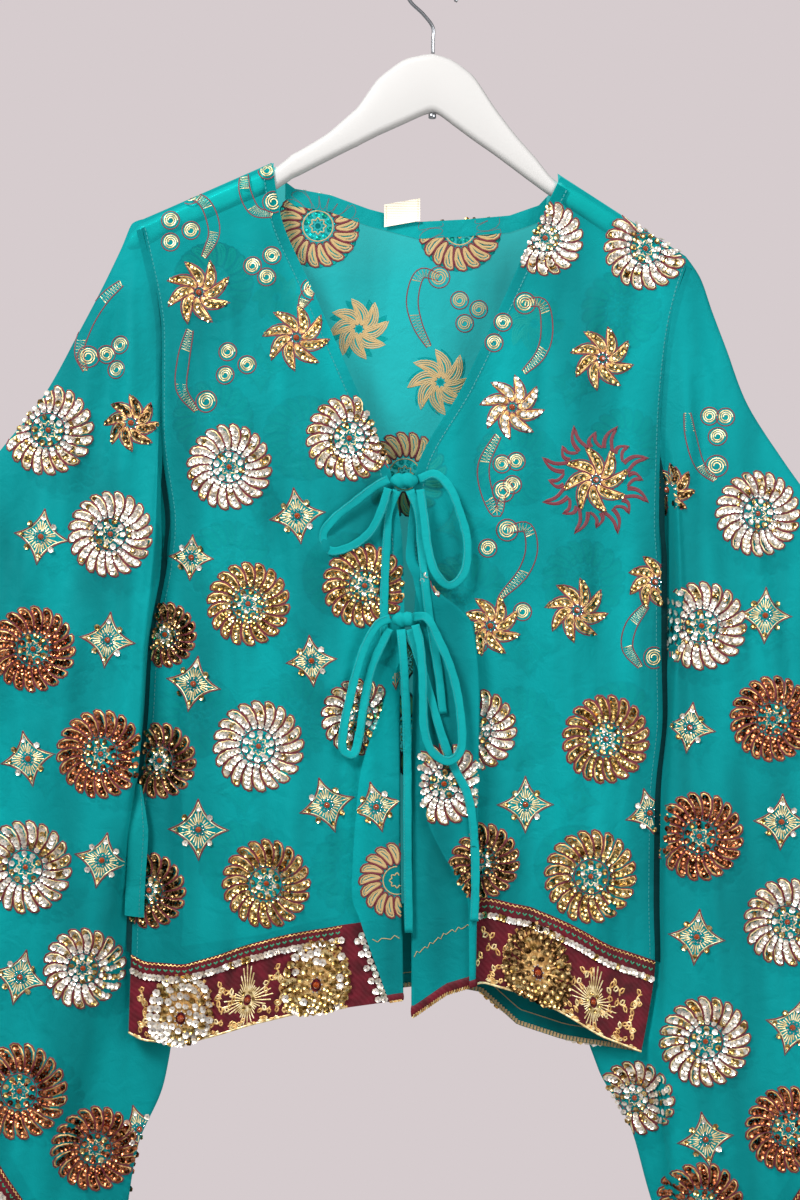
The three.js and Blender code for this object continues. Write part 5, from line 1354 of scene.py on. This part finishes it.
# %% Scrolls and coils
def gold_disc(sewing, x, z, radius=7.0, zone="panel"):
    """A coil of pale thread in a burgundy ring."""
    finish = "wrong_side" if zone == "turned" else "pale_zari"
    sewing.thread("burgundy", turned(x, z, full_circle(radius, 19)), 0.9, zone=zone)
    coil = [around(0, 0, r, a) for a, r in zip(np.linspace(0, 5 * math.pi, 40),
                                               np.linspace(radius * 0.8, radius * 0.25, 40))]
    sewing.thread(finish, turned(x, z, coil), 0.9, zone=zone)


def tendril(sewing, path, head, zone="panel"):
    """A tapering S of couched gold between burgundy edges, with a round head."""
    route, _ = smooth_route([(x, 0, z) for x, z in path], 34)
    line = route[:, [0, 2]]
    along = np.gradient(line, axis=0)
    side = unit(np.stack([-along[:, 1], along[:, 0]], axis=1))
    wide = 4.6 * np.sin(np.pi * np.linspace(0.12, 0.93, len(line))) ** 0.6
    fill = "wrong_side" if zone == "turned" else "pale_zari"
    for sign in (1, -1):
        sewing.thread("burgundy", line + side * (wide * sign)[:, None], 0.9, zone=zone)
    place = np.arange(len(line))
    at = np.linspace(0, len(line) - 1, len(line) * 2)
    zigzag = np.where(np.arange(len(at)) % 2, 0.8, -0.8)
    middle = np.stack([np.interp(at, place, line[:, i]) for i in (0, 1)], axis=1)
    swing = np.stack([np.interp(at, place, side[:, i]) for i in (0, 1)], axis=1)
    stitches = middle + swing * (zigzag * np.interp(at, place, wide))[:, None]
    sewing.thread(fill, stitches, 0.9, zone=zone, height=0.35)
    gold_disc(sewing, head[0], head[1], 8.4, zone)


# %% [markdown]
# Where each flower is sewn, in millimetres from the hook: read off the garment as it hangs, so the
# rows tilt with the cloth. A row holds x, z and radius, then a finish for all but the stars, and a
# zone where that isn't the panel. A sleeve's flowers are sewn through to its back layer as well, a
# little aside and lower. The back has its own, and their wrong side shows inside the open neck.

# %% Where the flowers are sewn
MEDALLIONS = {
    "front_left": [
        (-65, -374, 34, "silver_gold"), (-158, -396, 34, "silver"), (-143, -502, 33, "gold"),
        (-53, -488, 33, "gold"), (-135, -612, 36, "silver"), (-129, -718, 35, "gold"),
        (-57, -589, 30, "silver_gold"), (-221, -725, 30, "bronze"), (-209, -526, 26, "bronze"),
        (-213, -624, 30, "bronze"), (-28, -715, 30, "bronze", "turned"),
    ],
    "front_right": [
        (165, -226, 33, "silver"), (87, -218, 30, "silver"), (134, -607, 35, "burgundy_gold"),
        (122, -713, 37, "gold"), (33, -599, 32, "silver_gold"), (8, -640, 32, "silver", "top"),
        (37, -700, 30, "bronze"), (41, -704, 30, "bronze", "top"),
    ],
    "sleeve_left": [
        (-299, -367, 36, "silver_gold"), (-250, -448, 34, "silver"), (-310, -537, 34, "copper"),
        (-257, -618, 35, "copper"), (-316, -706, 37, "silver_gold"), (-271, -784, 32, "silver_gold"),
        (-321, -880, 38, "copper"), (-264, -928, 34, "copper"), (-375, -630, 34, "silver"),
        (-378, -792, 34, "copper"), (-369, -913, 30, "silver_gold"),
    ],
    "sleeve_right": [
        (252, -432, 34, "silver"), (208, -519, 35, "silver"), (263, -591, 34, "copper"),
        (206, -682, 35, "copper"), (275, -749, 35, "silver"), (211, -841, 36, "silver_gold"),
        (158, -889, 30, "silver_gold"), (275, -909, 34, "copper"), (208, -967, 33, "copper"),
        (335, -679, 34, "silver"), (339, -819, 34, "copper"),
    ],
}
STARS = {
    "front_left": [
        (-105, -434, 22), (-188, -466, 18), (-186, -564, 22), (-94, -546, 20), (-182, -677, 24),
        (-82, -657, 22), (-44, -658, 20, "shown"), (-30, -550, 18, "turned"),
    ],
    "front_right": [
        (71, -657, 22), (169, -665, 20),
    ],
    "sleeve_left": [
        (-304, -450, 22), (-252, -530, 22), (-314, -622, 22), (-256, -700, 22), (-321, -792, 22),
        (-230, -914, 20), (-361, -546, 22), (-377, -710, 22), (-369, -850, 22),
    ],
    "sleeve_right": [
        (257, -511, 22), (199, -598, 20), (270, -671, 22), (204, -760, 22), (279, -831, 22),
        (211, -917, 22), (317, -593, 22), (338, -753, 22),
    ],
}
PINWHEELS = {
    "front_left": [
        (-182, -260, 26, "gold"), (-106, -296, 26, "gold"), (-30, -382, 20, "bronze"),
    ],
    "front_right": [
        (131, -312, 25, "gold"), (61, -350, 25, "silver"), (111, -507, 25, "gold"),
        (173, -485, 22, "gold"), (44, -519, 24, "gold"), (9, -475, 22, "silver", "top"),
    ],
    "sleeve_left": [
        (-234, -362, 22, "bronze"),
    ],
    "sleeve_right": [
        (183, -413, 20, "bronze"),
    ],
}
# Each scroll is a path and the middle of its round head.
TENDRILS = {
    "front_left": [
        ([(-189, -183), (-177, -191), (-170, -214), (-178, -233)], (-189, -183)),
        ([(-147, -165), (-146, -182), (-138, -197), (-125, -200)], (-124, -190)),
        ([(-189, -289), (-194, -313), (-195, -336), (-184, -352)], (-176, -345)),
        ([(-94, -258), (-99, -265), (-102, -272)], (-94, -258)),
    ],
    "front_right": [
        ([(71, -269), (84, -269), (88, -292), (83, -309), (70, -323)], (71, -269)),
        ([(50, -372), (39, -395), (41, -415), (49, -432), (54, -418)], (54, -415)),
        ([(57, -445), (72, -443), (76, -459), (70, -477), (52, -497)], (57, -445)),
        ([(166, -503), (154, -519), (151, -536), (161, -551)], (172, -544)),
    ],
    "sleeve_right": [
        ([(197, -354), (200, -373), (207, -394), (219, -406)], (220, -395)),
    ],
    "sleeve_left": [
        ([(-242, -253), (-255, -264), (-268, -283), (-275, -307), (-270, -321)], (-268, -310)),
    ],
}
DISCS = {
    "front_left": [
        (-204, -204), (-188, -212), (-204, -221), (-129, -165), (-159, -307), (-144, -317), (-161, -325),
        (-125, -232), (-140, -240), (-129, -249),
    ],
    "front_right": [
        (54, -284), (47, -300), (53, -394), (64, -392), (61, -410), (42, -459), (24, -522), (35, -533),
        (21, -540), (69, -508),
    ],
    "sleeve_right": [
        (215, -356), (227, -357), (221, -372),
    ],
    "sleeve_left": [
        (-243, -301), (-254, -308), (-246, -320),
    ],
}
BACK_MEDALLIONS = [
    (-90, -206, 33, "silver"), (21, -209, 33, "gold"), (-172, -250, 32, "gold"), (148, -272, 32, "silver"),
    (-172, -358, 32, "silver"), (-100, -372, 34, "silver_gold"), (-22, -400, 34, "gold"),
    (66, -392, 34, "silver"), (150, -378, 30, "gold"), (-160, -470, 34, "gold"), (-68, -480, 35, "silver"),
    (26, -496, 34, "copper"), (118, -484, 33, "gold"), (-185, -590, 33, "silver"),
    (-108, -590, 35, "copper"), (-20, -605, 34, "silver_gold"), (68, -600, 34, "gold"),
    (146, -590, 28, "silver"), (-150, -705, 34, "silver"), (-62, -712, 35, "gold"),
    (28, -712, 34, "copper"), (112, -708, 33, "silver"),
]
BACK_STARS = [
    (-135, -318, 20), (110, -330, 20), (-132, -424, 20), (22, -440, 20), (112, -426, 20), (-112, -530, 22),
    (-22, -548, 20), (74, -540, 22), (-150, -648, 22), (-64, -652, 22), (24, -656, 22), (112, -654, 20),
]
BACK_PINWHEELS = [
    (-58, -286, 24, "gold"), (6, -328, 26, "gold"), (-122, -262, 20, "gold"), (80, -282, 24, "silver"),
]
BACK_DISCS = [(21, -264), (36, -271), (25, -282)]
BACK_TENDRIL = [(5, -246), (-9, -243), (-16, -263), (-12, -283), (-3, -300)]
BEHIND_X, BEHIND_Z = 9, -14

sewings = {
    "front_left": Sewing("front_left", front_left_cloth, LEFT_OUT),
    "front_right": Sewing("front_right", front_right_cloth, RIGHT_OUT),
    "sleeve_left": Sewing("sleeve_left", sleeve_left_cloth, LEFT_OUT, True),
    "sleeve_right": Sewing("sleeve_right", sleeve_right_cloth, RIGHT_OUT, True),
    "back": Sewing("back", back_cloth, BACK_OUT),
}
print("flowers:", sum(len(rows) for places in (MEDALLIONS, STARS, PINWHEELS) for rows in places.values()))

# %% [markdown]
# Now the flowers are sewn, panel by panel and finish by finish. The back's flowers are worked twice,
# once on its right side and once as bare thread on its wrong side.

# %% Sew the flowers
for flower, places, on_back_layer in (
        (medallion, MEDALLIONS, True), (star, STARS, True), (pinwheel, PINWHEELS, False)):
    for piece, rows in places.items():
        for x, z, *rest in rows:
            flower(sewings[piece], x, z, *rest)
            if on_back_layer and piece.startswith("sleeve"):
                flower(sewings[piece], x + BEHIND_X, z + BEHIND_Z, *rest, facing=1)
sunburst(sewings["front_right"], 126, -406)
for piece, scrolls in TENDRILS.items():
    for path, head in scrolls:
        tendril(sewings[piece], path, head)
for piece, places in DISCS.items():
    for x, z in places:
        gold_disc(sewings[piece], x, z)
back = sewings["back"]
tendril(back, BACK_TENDRIL, BACK_TENDRIL[0], zone="turned")
for x, z in BACK_DISCS:
    gold_disc(back, x, z, zone="turned")
for flower, rows in ((medallion, BACK_MEDALLIONS), (star, BACK_STARS), (pinwheel, BACK_PINWHEELS)):
    for row in rows:
        flower(back, *row, facing=1)
        flower(back, *row, zone="turned")
for sewing in sewings.values():
    sewing.finish()

# %% [markdown]
# The burgundy strips carry their own rows, worked from end to end: a gold zigzag and green stitches
# at the top, a row of flat sequins, then sprigs of couched gold between sequin flowers and stars of
# rays, and a corded gold edge. They are laid out along the strip, so they bend with the hem.

# %% Rows along the borders
MIDDLE_ROW = 0.58


class Band:
    """Places on a strip, by millimetres along it and by share of its height."""
    def __init__(self, name, grid, side, closed=False):
        self.sewing = Sewing(name, grid, side, closed, "border")
        self.grid, self.ups = joined(grid, closed), joined(outward(grid, side, closed), closed)
        self.run = run_along(self.grid[len(grid) // 2])
        self.length = self.run[-1]
        self.height = np.linalg.norm(np.diff(self.grid, axis=0), axis=2).sum(axis=0).mean()

    def at(self, along, down):
        column = float(np.interp(along, self.run, np.arange(len(self.run))))
        row = min(max(down, 0.0), 1.0) * (len(self.grid) - 1)
        c, r = min(int(column), len(self.run) - 2), min(int(row), len(self.grid) - 2)
        u, v = column - c, row - r

        def read(source):
            return ((source[r, c] * (1 - u) + source[r, c + 1] * u) * (1 - v)
                    + (source[r + 1, c] * (1 - u) + source[r + 1, c + 1] * u) * v)
        return read(self.grid), unit(read(self.ups))

    def near(self, along, radius, angle):
        """A place at a distance from the middle row, as distance along and share of height."""
        return along + radius * math.cos(angle), MIDDLE_ROW + radius * math.sin(angle) / self.height

    def line(self, finish, places, width=0.9, height=0.45):
        self.sewing.ridge(finish, [self.at(a, d) for a, d in places], width, height)

    def sprig(self, along, down, size, turn, flip):
        """A curved stem of couched gold with filled leaves on both sides, sized in millimetres."""
        stem = []
        for t in np.linspace(0, 1, 7):
            angle = turn + flip * t * 1.9
            fall = down * self.height + size * (1 - math.cos(angle)) - size * 0.6
            stem.append((along + size * math.sin(angle), fall, angle))
        self.line("zari", [(a, d / self.height) for a, d, _ in stem], 1.1)
        for k, (a, d, angle) in enumerate(stem[1::2]):
            reach = 4.6 - 0.4 * k
            leaf_line = [(reach * (1 - abs(1 - 2 * t)), 1.3 * math.sin(2 * math.pi * t))
                         for t in np.linspace(0, 1, 7)]
            leaf_line = turned(a, d, leaf_line, angle + (1.1 if k % 2 else -1.1))
            leaf_line = [(u, v / self.height) for u, v in leaf_line]
            self.line("pale_zari" if k % 2 else "zari", leaf_line, 1.2, 0.5)

    def work(self, flowers, stars, covered=0.0):
        """Rows, sprigs and flowers; flowers and stars are lists of places along the strip."""
        end = self.length - covered
        chance = self.sewing.random
        zigzag = [(i * 1.7, 1 if i % 2 else -1) for i in range(int(end / 1.7))]
        self.line("zari", [(a, 0.035 + 0.014 * way) for a, way in zigzag], 0.9)
        self.line("pale_zari", [(i * 4.0, 0.975) for i in range(int(end / 4) + 1)], 1.6, 0.8)
        self.line("zari", [(a, 0.945 + 0.01 * way) for a, way in zigzag], 0.8)
        for start in np.arange(2.0, end - 4, 5.2):
            self.line("green", [(start, 0.1), (start + 1.6, 0.125), (start + 3.2, 0.1)], 1.2)
        for along in np.arange(2.5, end - 2, 3.7):
            kind = "silver" if chance.random() < 0.82 else "gold"
            self.sewing.disc_at(kind, *self.at(along, 0.2), 2.9, (-0.14, 0.0))
        taken = [(a, 24.0) for a, _ in flowers] + [(a, 13.0) for a in stars]
        for step, along in enumerate(np.arange(4.0, end - 5, 8.0)):
            flip = 1 if step % 2 else -1
            for row, size in ((0.4, 4.8), (0.63, 4.8), (0.86, 3.8)):
                place = along + 8.0 * row
                aside = (row - MIDDLE_ROW) * self.height
                free = all(math.hypot(place - a, aside) >= keep for a, keep in taken)
                if free and place < end - 4:
                    self.sprig(place, row, size, 0.9 * step + 5 * row, flip)
        for along, finish in flowers:
            self.flower(along, finish)
        for along in stars:
            self.ray_star(along)

    def flower(self, along, finish):
        """A flower of sequins in four overlapping rings on a ground of gold thread."""
        chance = self.sewing.random
        for k in range(40):
            reach = 0.44 * self.height * (1.0 if k % 2 else 0.93)
            self.line("zari", [self.near(along, r, 2 * math.pi * k / 40) for r in (4.0, 14.0, reach)], 2.4)
        rings = ((0.41, 3.3, 30), (0.32, 3.4, 23), (0.23, 3.2, 16), (0.14, 2.6, 9))
        for ring, (reach, size, count) in enumerate(rings):
            for k in range(count):
                a = 2 * math.pi * (k + 0.5 * (ring % 2)) / count
                place, up = self.at(*self.near(along, reach * self.height * 0.95, a))
                kind = finish if chance.random() < 0.8 else "silver" if finish == "gold" else "gold"
                lean = (-0.2 * math.cos(a), 0.2 * math.sin(a))
                self.sewing.disc_at(kind, place, up, size, lean, lift=0.9 + 0.25 * ring)
        self.sewing.dome_at("amber", *self.at(along, MIDDLE_ROW), 2.8, 0.9, 1.3, 10)
        for k in range(9):
            place, up = self.at(*self.near(along, 4.6, 2 * math.pi * k / 9))
            self.sewing.dome_at("beads", place, up, 0.95, 1.0, 1.3, 6)

    def ray_star(self, along):
        for k in range(36):
            a = 2 * math.pi * k / 36
            reach = 21 * (0.45 + 0.55 * abs(math.cos(2 * a)) ** 2.2)
            self.line("pale_zari", [self.near(along, r, a) for r in np.linspace(3.4, reach, 4)], 0.95)
        self.sewing.dome_at("amber", *self.at(along, MIDDLE_ROW), 2.3, 0.9, 0.6, 8)
        for k in range(6):
            self.sewing.disc_at("gold", *self.at(*self.near(along, 5.2, math.pi * k / 3)), 1.6)


# %% [markdown]
# The flowers of a border are listed one by one on the fronts and the back, and spaced evenly round the cuffs.
# At the front edges the last stretch of a border lies under the turned cloth, so it stays bare.

# %% Work the borders
left_band = Band("border_front_left", border_left_grid, LEFT_OUT)
right_band = Band("border_front_right", border_right_grid, RIGHT_OUT)
back_band = Band("border_back", border_back_grid, BACK_OUT)
cuff_bands = [Band("cuff_border_left", cuff_left_grid, LEFT_OUT, True),
              Band("cuff_border_right", cuff_right_grid, RIGHT_OUT, True)]
left_band.work([(43, "silver"), (153, "gold")], [98], covered=42.0)
right_band.work([(98, "bronze")], [48], covered=50.0)
back_band.work([(35, "silver"), (118, "gold"), (205, "bronze"), (292, "gold"), (375, "silver")],
               [76, 162, 248, 334])
for band in cuff_bands:
    spots = np.arange(30, band.length - 20, band.length / 8)
    band.work([(a, "silver" if i % 2 else "gold") for i, a in enumerate(spots)],
              [a + band.length / 16 for a in spots[:-1]])

# %% [markdown]
# Small edge work finishes the cloth: silver sequins slant down the left border beside the turned
# edge, whose corner shows the back of the embroidery. The hems of the pleat and of the turned edge
# are rolled and overcast in gold, and the inside of the back hem shows tan backing thread.

# %% Edge work
slant = front_left_cloth[-2 * FINE:, -1]
for k, place in enumerate(slant[2:14]):
    for shift in (3.0, 8.0)[:1 + k % 2]:
        found = left_band.sewing.drop(place[0] - shift, place[2])
        if found:
            left_band.sewing.disc_at("silver", found[0], found[1], 2.8, (0.1, 0.0))
for band in (left_band, right_band, back_band, *cuff_bands):
    band.sewing.finish()


def edge_roll(name, grid, side, columns, width):
    """A narrow rolled edge of border cloth along the last row of some columns."""
    line = grid[-1, columns]
    ups = outward(grid, side)[-1, columns]
    down = unit(line - grid[-2, columns])
    ring = []
    for a in np.linspace(0, math.pi, 7):
        across = down * ((math.cos(a) - 1) * width / 2)
        ring.append(line + across + ups * (0.25 + 1.1 * math.sin(a)))
    make_piece(name, np.concatenate(ring), grid_faces(7, len(line)), border_thread)


PLEAT_FACE = slice(ACROSS + 6, ACROSS + 21)
edge_roll("pleat_hem_roll_top", front_right_cloth, RIGHT_OUT, slice(ACROSS + 20, None), 6.0)
edge_roll("pleat_hem_roll_under", front_right_cloth, -RIGHT_OUT, PLEAT_FACE, 9.0)
edge_roll("turned_hem_roll", front_left_cloth, -LEFT_OUT, slice(ACROSS + 6, None), 6.0)
hem_inside = Band("back_hem_inside", back_cloth[-2 * FINE - 1:], -BACK_OUT)
for along in np.arange(3.0, hem_inside.length - 3, 2.7):
    hem_inside.line("tan", [(along, 0.85), (along, 0.92), (along, 0.995)], 2.0, 1.0)
hem_inside.line("tan", [(a, 0.7) for a in np.arange(2.0, hem_inside.length - 2, 4.0)], 0.7)
pleat = Band("pleat_hem", front_right_cloth[-2 * FINE - 1:, PLEAT_FACE], -RIGHT_OUT)
turned_edge = Band("turned_hem", front_left_cloth[-2 * FINE - 1:, ACROSS + 6:], -LEFT_OUT)
for band, rise in ((pleat, 0.13), (turned_edge, 0.09)):
    for k, a in enumerate(np.arange(1.0, band.length - 1, 2.1)):
        overcast = [(a, 1.0), (a + 0.7, 1 - rise / 2), (a + 1.4, 1 - rise)]
        band.line("zari" if k % 3 else "pale_zari", overcast, 1.7, 2.6)
    waved = [(a, 0.25 + 0.02 * math.sin(a)) for a in np.arange(2.0, band.length - 2, 2.5)]
    band.line("wrong_side", waved, 0.6)
for band in (hem_inside, pleat, turned_edge):
    band.sewing.finish()

# %% [markdown]
# At the left side seam a narrow strip of the turned allowance has slipped out and hangs in front.
# The knots are the same ribbon wound over itself, so each is a rounded form with ridges that cross
# it on the slant. The label is a blank woven cotton tape sewn in at its two ends, curled at the top.

# %% Side strip, knots and label
STRIP_X, STRIP_TOP, STRIP_DROP = -229, -642, 103
t, u = np.meshgrid(np.linspace(0, 1, 40), np.linspace(-0.5, 0.5, 5), indexing="ij")
strip_width = 5 + 10 * np.minimum(1, 3 * t)
strip_depth = 6.5 + 5 * np.sin(np.pi * np.minimum(1, 1.3 * t)) + 1.5 * np.cos(np.pi * u)
strip_depth += np.sin(9 * t + 2 * u)
strip_grid = np.stack([STRIP_X - 2 * t + strip_width * u + 1.2 * np.sin(5 * t), -strip_depth,
                       STRIP_TOP - STRIP_DROP * t - 2 * u], axis=2)
strip_ups = outward(strip_grid, LEFT_OUT)
strip_stitches = stitch_row("side_seam_strip_stitches", strip_grid[:, 3], strip_ups[:, 3])
cloth_sheet("side_seam_strip", strip_grid, [], georgette_doubled)


def wound_knot(name, x, y, z, half_x, half_y, half_z):
    """An egg of wound ribbon: polar runs from end to end, turn goes round."""
    polar, turn = np.meshgrid(np.linspace(0, math.pi, 29), np.arange(22) * 2 * math.pi / 22, indexing="ij")
    ridge = 0.07 * np.sin(3 * turn + 7 * polar) + 0.05 * np.sin(14 * polar) * np.sin(polar)
    waist = 1 - 0.12 * np.exp(-(np.cos(polar) / 0.22) ** 2)
    grow = (0.95 + ridge * np.sin(polar)) * waist * np.sin(polar)
    grid = np.stack([x + half_x * 0.98 * np.cos(polar), y + half_y * np.cos(turn) * grow,
                     z + half_z * np.sin(turn) * grow], axis=2)
    faces = grid_faces(*polar.shape, closed=True)
    make_piece(name + "_wound", grid.reshape(-1, 3), faces, ribbon_cloth, [name])


for row in KNOTS:
    wound_knot(**row)

# Plain-woven tape is matt and shows its weft as fine ribs, drawn coarse enough to see.
tape, tape_shader = new_material("cream_woven_cotton_tape", "#DDD3BF", 0.85)
tape_place = add_node(tape, "ShaderNodeTexCoord").outputs["Object"]
weft = add_node(tape, "ShaderNodeTexWave", {"Vector": tape_place, "Scale": 170.0, "Distortion": 0.4},
                bands_direction="Z")
weft_bump = add_node(tape, "ShaderNodeBump",
                     {"Height": weft.outputs["Fac"], "Strength": 0.35, "Distance": 0.0004})
link(tape, weft_bump.outputs["Normal"], tape_shader.inputs["Normal"])
LABEL_WIDTH, LABEL_HEIGHT = 28, 18
t, u = np.meshgrid(np.linspace(1, 0, 14), np.linspace(-0.5, 0.5, 18), indexing="ij")
label_grid = np.stack([-24 + LABEL_WIDTH * u, 4.4 - 4 * t * t + 0.5 * np.sin(7 * u) * t,
                       -205 + 17 * t + 5 * u], axis=2)
label = make_piece("label_tape", label_grid.reshape(-1, 3), grid_faces(14, 18), tape, ["neck_label"])
# Cotton thread is matt, and a shade darker than the tape it holds.
cotton, _ = new_material("cream_cotton_thread", "#C9BDA3", 0.7)
label_ups = outward(label_grid, 1)
ends = [stitch_row(f"label_stitches_{k}", label_grid[:, column], label_ups[:, column], 2.2, 1.3,
                   0.25, cotton) for k, column in enumerate((1, 16))]

# %% [markdown]
# The hanger is a flat wooden board with rounded edges, painted satin white. The wire hook is bright
# bent steel with a lean to one side, held by a small nut below. All are simple hard forms, so
# sections are joined end to end, read from the same outline as the solid but more finely.

# %% Hanger, hook and nut
# Brushed satin paint keeps faint brush marks under a low gloss. Its hex is well below white, since the
# lights that show the cloth would burn a true white out. Drawn wire is bright with fine draw lines.
white_paint, white_shader = new_material("satin_white_paint_on_wood", "#A9A7A5", 0.4)
paint_place = add_node(white_paint, "ShaderNodeTexCoord").outputs["Object"]
brush = add_node(white_paint, "ShaderNodeTexNoise", {"Vector": paint_place, "Scale": 60.0, "Detail": 2.0})
brush_bump = add_node(white_paint, "ShaderNodeBump",
                      {"Height": brush.outputs["Fac"], "Strength": 0.12, "Distance": 0.001})
link(white_paint, brush_bump.outputs["Normal"], white_shader.inputs["Normal"])
white_shader.inputs["Coat Weight"].default_value = 0.15
steel, steel_shader = new_material("bright_bent_steel_wire", "#A7A9AD", 0.28, 1.0)
steel_place = add_node(steel, "ShaderNodeTexCoord").outputs["Object"]
drawn = add_node(steel, "ShaderNodeTexNoise", {"Vector": steel_place, "Scale": 900.0, "Detail": 1.0})
drawn_bump = add_node(steel, "ShaderNodeBump",
                      {"Height": drawn.outputs["Fac"], "Strength": 0.1, "Distance": 0.0002})
link(steel, drawn_bump.outputs["Normal"], steel_shader.inputs["Normal"])


def hanger_board():
    fine = np.linspace(0, len(HANGER) - 1, 6 * (len(HANGER) - 1) + 1)
    place = np.arange(len(HANGER))
    x, top, bottom, half = (np.interp(fine, place, [row[key] for row in HANGER])
                            for key in ("x", "top", "bottom", "half"))
    kernel = np.array([1, 2, 3, 2, 1]) / 9
    for outline in (top, bottom):
        outline[2:-2] = np.convolve(outline, kernel, mode="valid")
    angles = np.radians(np.linspace(0, 180, 9))
    rings = []
    for px, pt, pb, ph in zip(x, top, bottom, half):
        radius = min(ph, (pt - pb) / 2)
        ring = [(px, ph * math.cos(a), pt - radius + radius * math.sin(a)) for a in angles]
        ring += [(px, -ph * math.cos(a), pb + radius - radius * math.sin(a)) for a in angles]
        rings.append(ring)
    rings = np.array(rings)
    faces = capped_tube(rings)
    make_piece("hanger_board", rings.reshape(-1, 3), faces, white_paint, ["hanger"])


def round_wire(name, points, radius, node, steps):
    route, _ = smooth_route(points, steps)
    forward = np.array([0.0, -1.0, 0.0])
    beside = unit(np.cross(unit(np.gradient(route, axis=0)), forward))
    angles = np.arange(12) * math.pi / 6
    rings = np.stack([place + radius * (np.outer(np.cos(angles), side) + np.outer(np.sin(angles), forward))
                      for place, side in zip(route, beside)])
    make_piece(name, rings.reshape(-1, 3), capped_tube(rings), steel, [node])


hanger_board()
HOOK_RADIUS, HOOK_MIDDLE_Z, WIRE_RADIUS = 21.4, -20, 1.4
hook_path = [(0, 0, -72.7), (0, 0, -62.7), (0, 0, -52.7), (-7, 0, -42.7)]
for a in np.radians(np.linspace(215, -35, 13)):
    hook_path.append((HOOK_RADIUS * math.cos(a), 0, HOOK_MIDDLE_Z + HOOK_RADIUS * math.sin(a)))
round_wire("hook_wire_bent", hook_path, WIRE_RADIUS, "hanger_hook", 110)
nut_outline = [(-0.9, 0.0), (-0.9, 2.4), (-0.7, 3.0), (0.7, 3.0), (0.9, 2.4), (0.9, 0.0)]
nut_points = [(-0.5 + r * math.cos(k * math.pi / 9), r * math.sin(k * math.pi / 9), -121.6 + h * 2.2)
              for h, r in nut_outline for k in range(18)]
make_piece("hook_nut_turned", nut_points, grid_faces(6, 18, True), steel, ["hook_nut"])
print("hanger, hook and nut made")

# %% [markdown]
# The photo is soft and even, as in a light tent. Two square area lights give the cloth its form, and
# the sequins need something bright and something dark to mirror, so the surroundings are broad pale
# and grey panels from a coarse noise. The camera sees only plain paper instead of them.

# %% Stage and finish
world = bpy.data.worlds.new("studio")
bpy.context.scene.world = world
world.use_nodes = True
room = world.node_tree.nodes["Background"]
direction = add_node(world, "ShaderNodeTexCoord").outputs["Generated"]
panels = add_node(world, "ShaderNodeTexNoise", {"Vector": direction, "Scale": 2.4, "Detail": 1.0})
panel_ramp = add_node(world, "ShaderNodeValToRGB", {"Fac": panels.outputs["Fac"]})
fill_ramp(panel_ramp, (0.38, "#3A3C40"), (0.55, "#FFFFFF"))
link(world, panel_ramp.outputs["Color"], room.inputs["Color"])
room.inputs["Strength"].default_value = 0.55
paper = add_node(world, "ShaderNodeBackground", {"Color": linear("#D6CCCE"), "Strength": 1.0})
seen = add_node(world, "ShaderNodeLightPath").outputs["Is Camera Ray"]
both = add_node(world, "ShaderNodeMixShader",
                {"Fac": seen, 1: room.outputs["Background"], 2: paper.outputs["Background"]})
link(world, both.outputs["Shader"], world.node_tree.nodes["World Output"].inputs["Surface"])
bpy.context.scene.view_settings.view_transform = "Standard"


def soft_light(name, place_mm, aim_mm, width, watts):
    data = bpy.data.lights.new(name, "AREA")
    data.shape, data.size, data.energy = "SQUARE", width, watts
    lamp = bpy.data.objects.new(name, data)
    lamp.location = Vector(place_mm) * MM
    lamp.rotation_euler = (Vector(aim_mm) - Vector(place_mm)).to_track_quat("-Z", "Y").to_euler()
    bpy.context.scene.collection.objects.link(lamp)


soft_light("key", (-1150, -1350, 1000), (0, 0, -520), 0.7, 87)
soft_light("fill", (1300, -1500, -100), (120, 0, -700), 1.2, 38)
floor_mesh = bpy.data.meshes.new("floor")
FLOOR_Z = -1.42
floor_corners = [(-1.2, -1.5, FLOOR_Z), (1.2, -1.5, FLOOR_Z), (1.2, 1.0, FLOOR_Z), (-1.2, 1.0, FLOOR_Z)]
floor_mesh.from_pydata(floor_corners, [], [(0, 1, 2, 3)])
floor = bpy.data.objects.new("floor", floor_mesh)
# A matt painted floor: it takes soft shadows and gives no reflection.
pale, _ = new_material("pale_floor", "#A8A4A2", 0.9)
floor_mesh.materials.append(pale)
bpy.context.scene.collection.objects.link(floor)

print("lights and floor set")
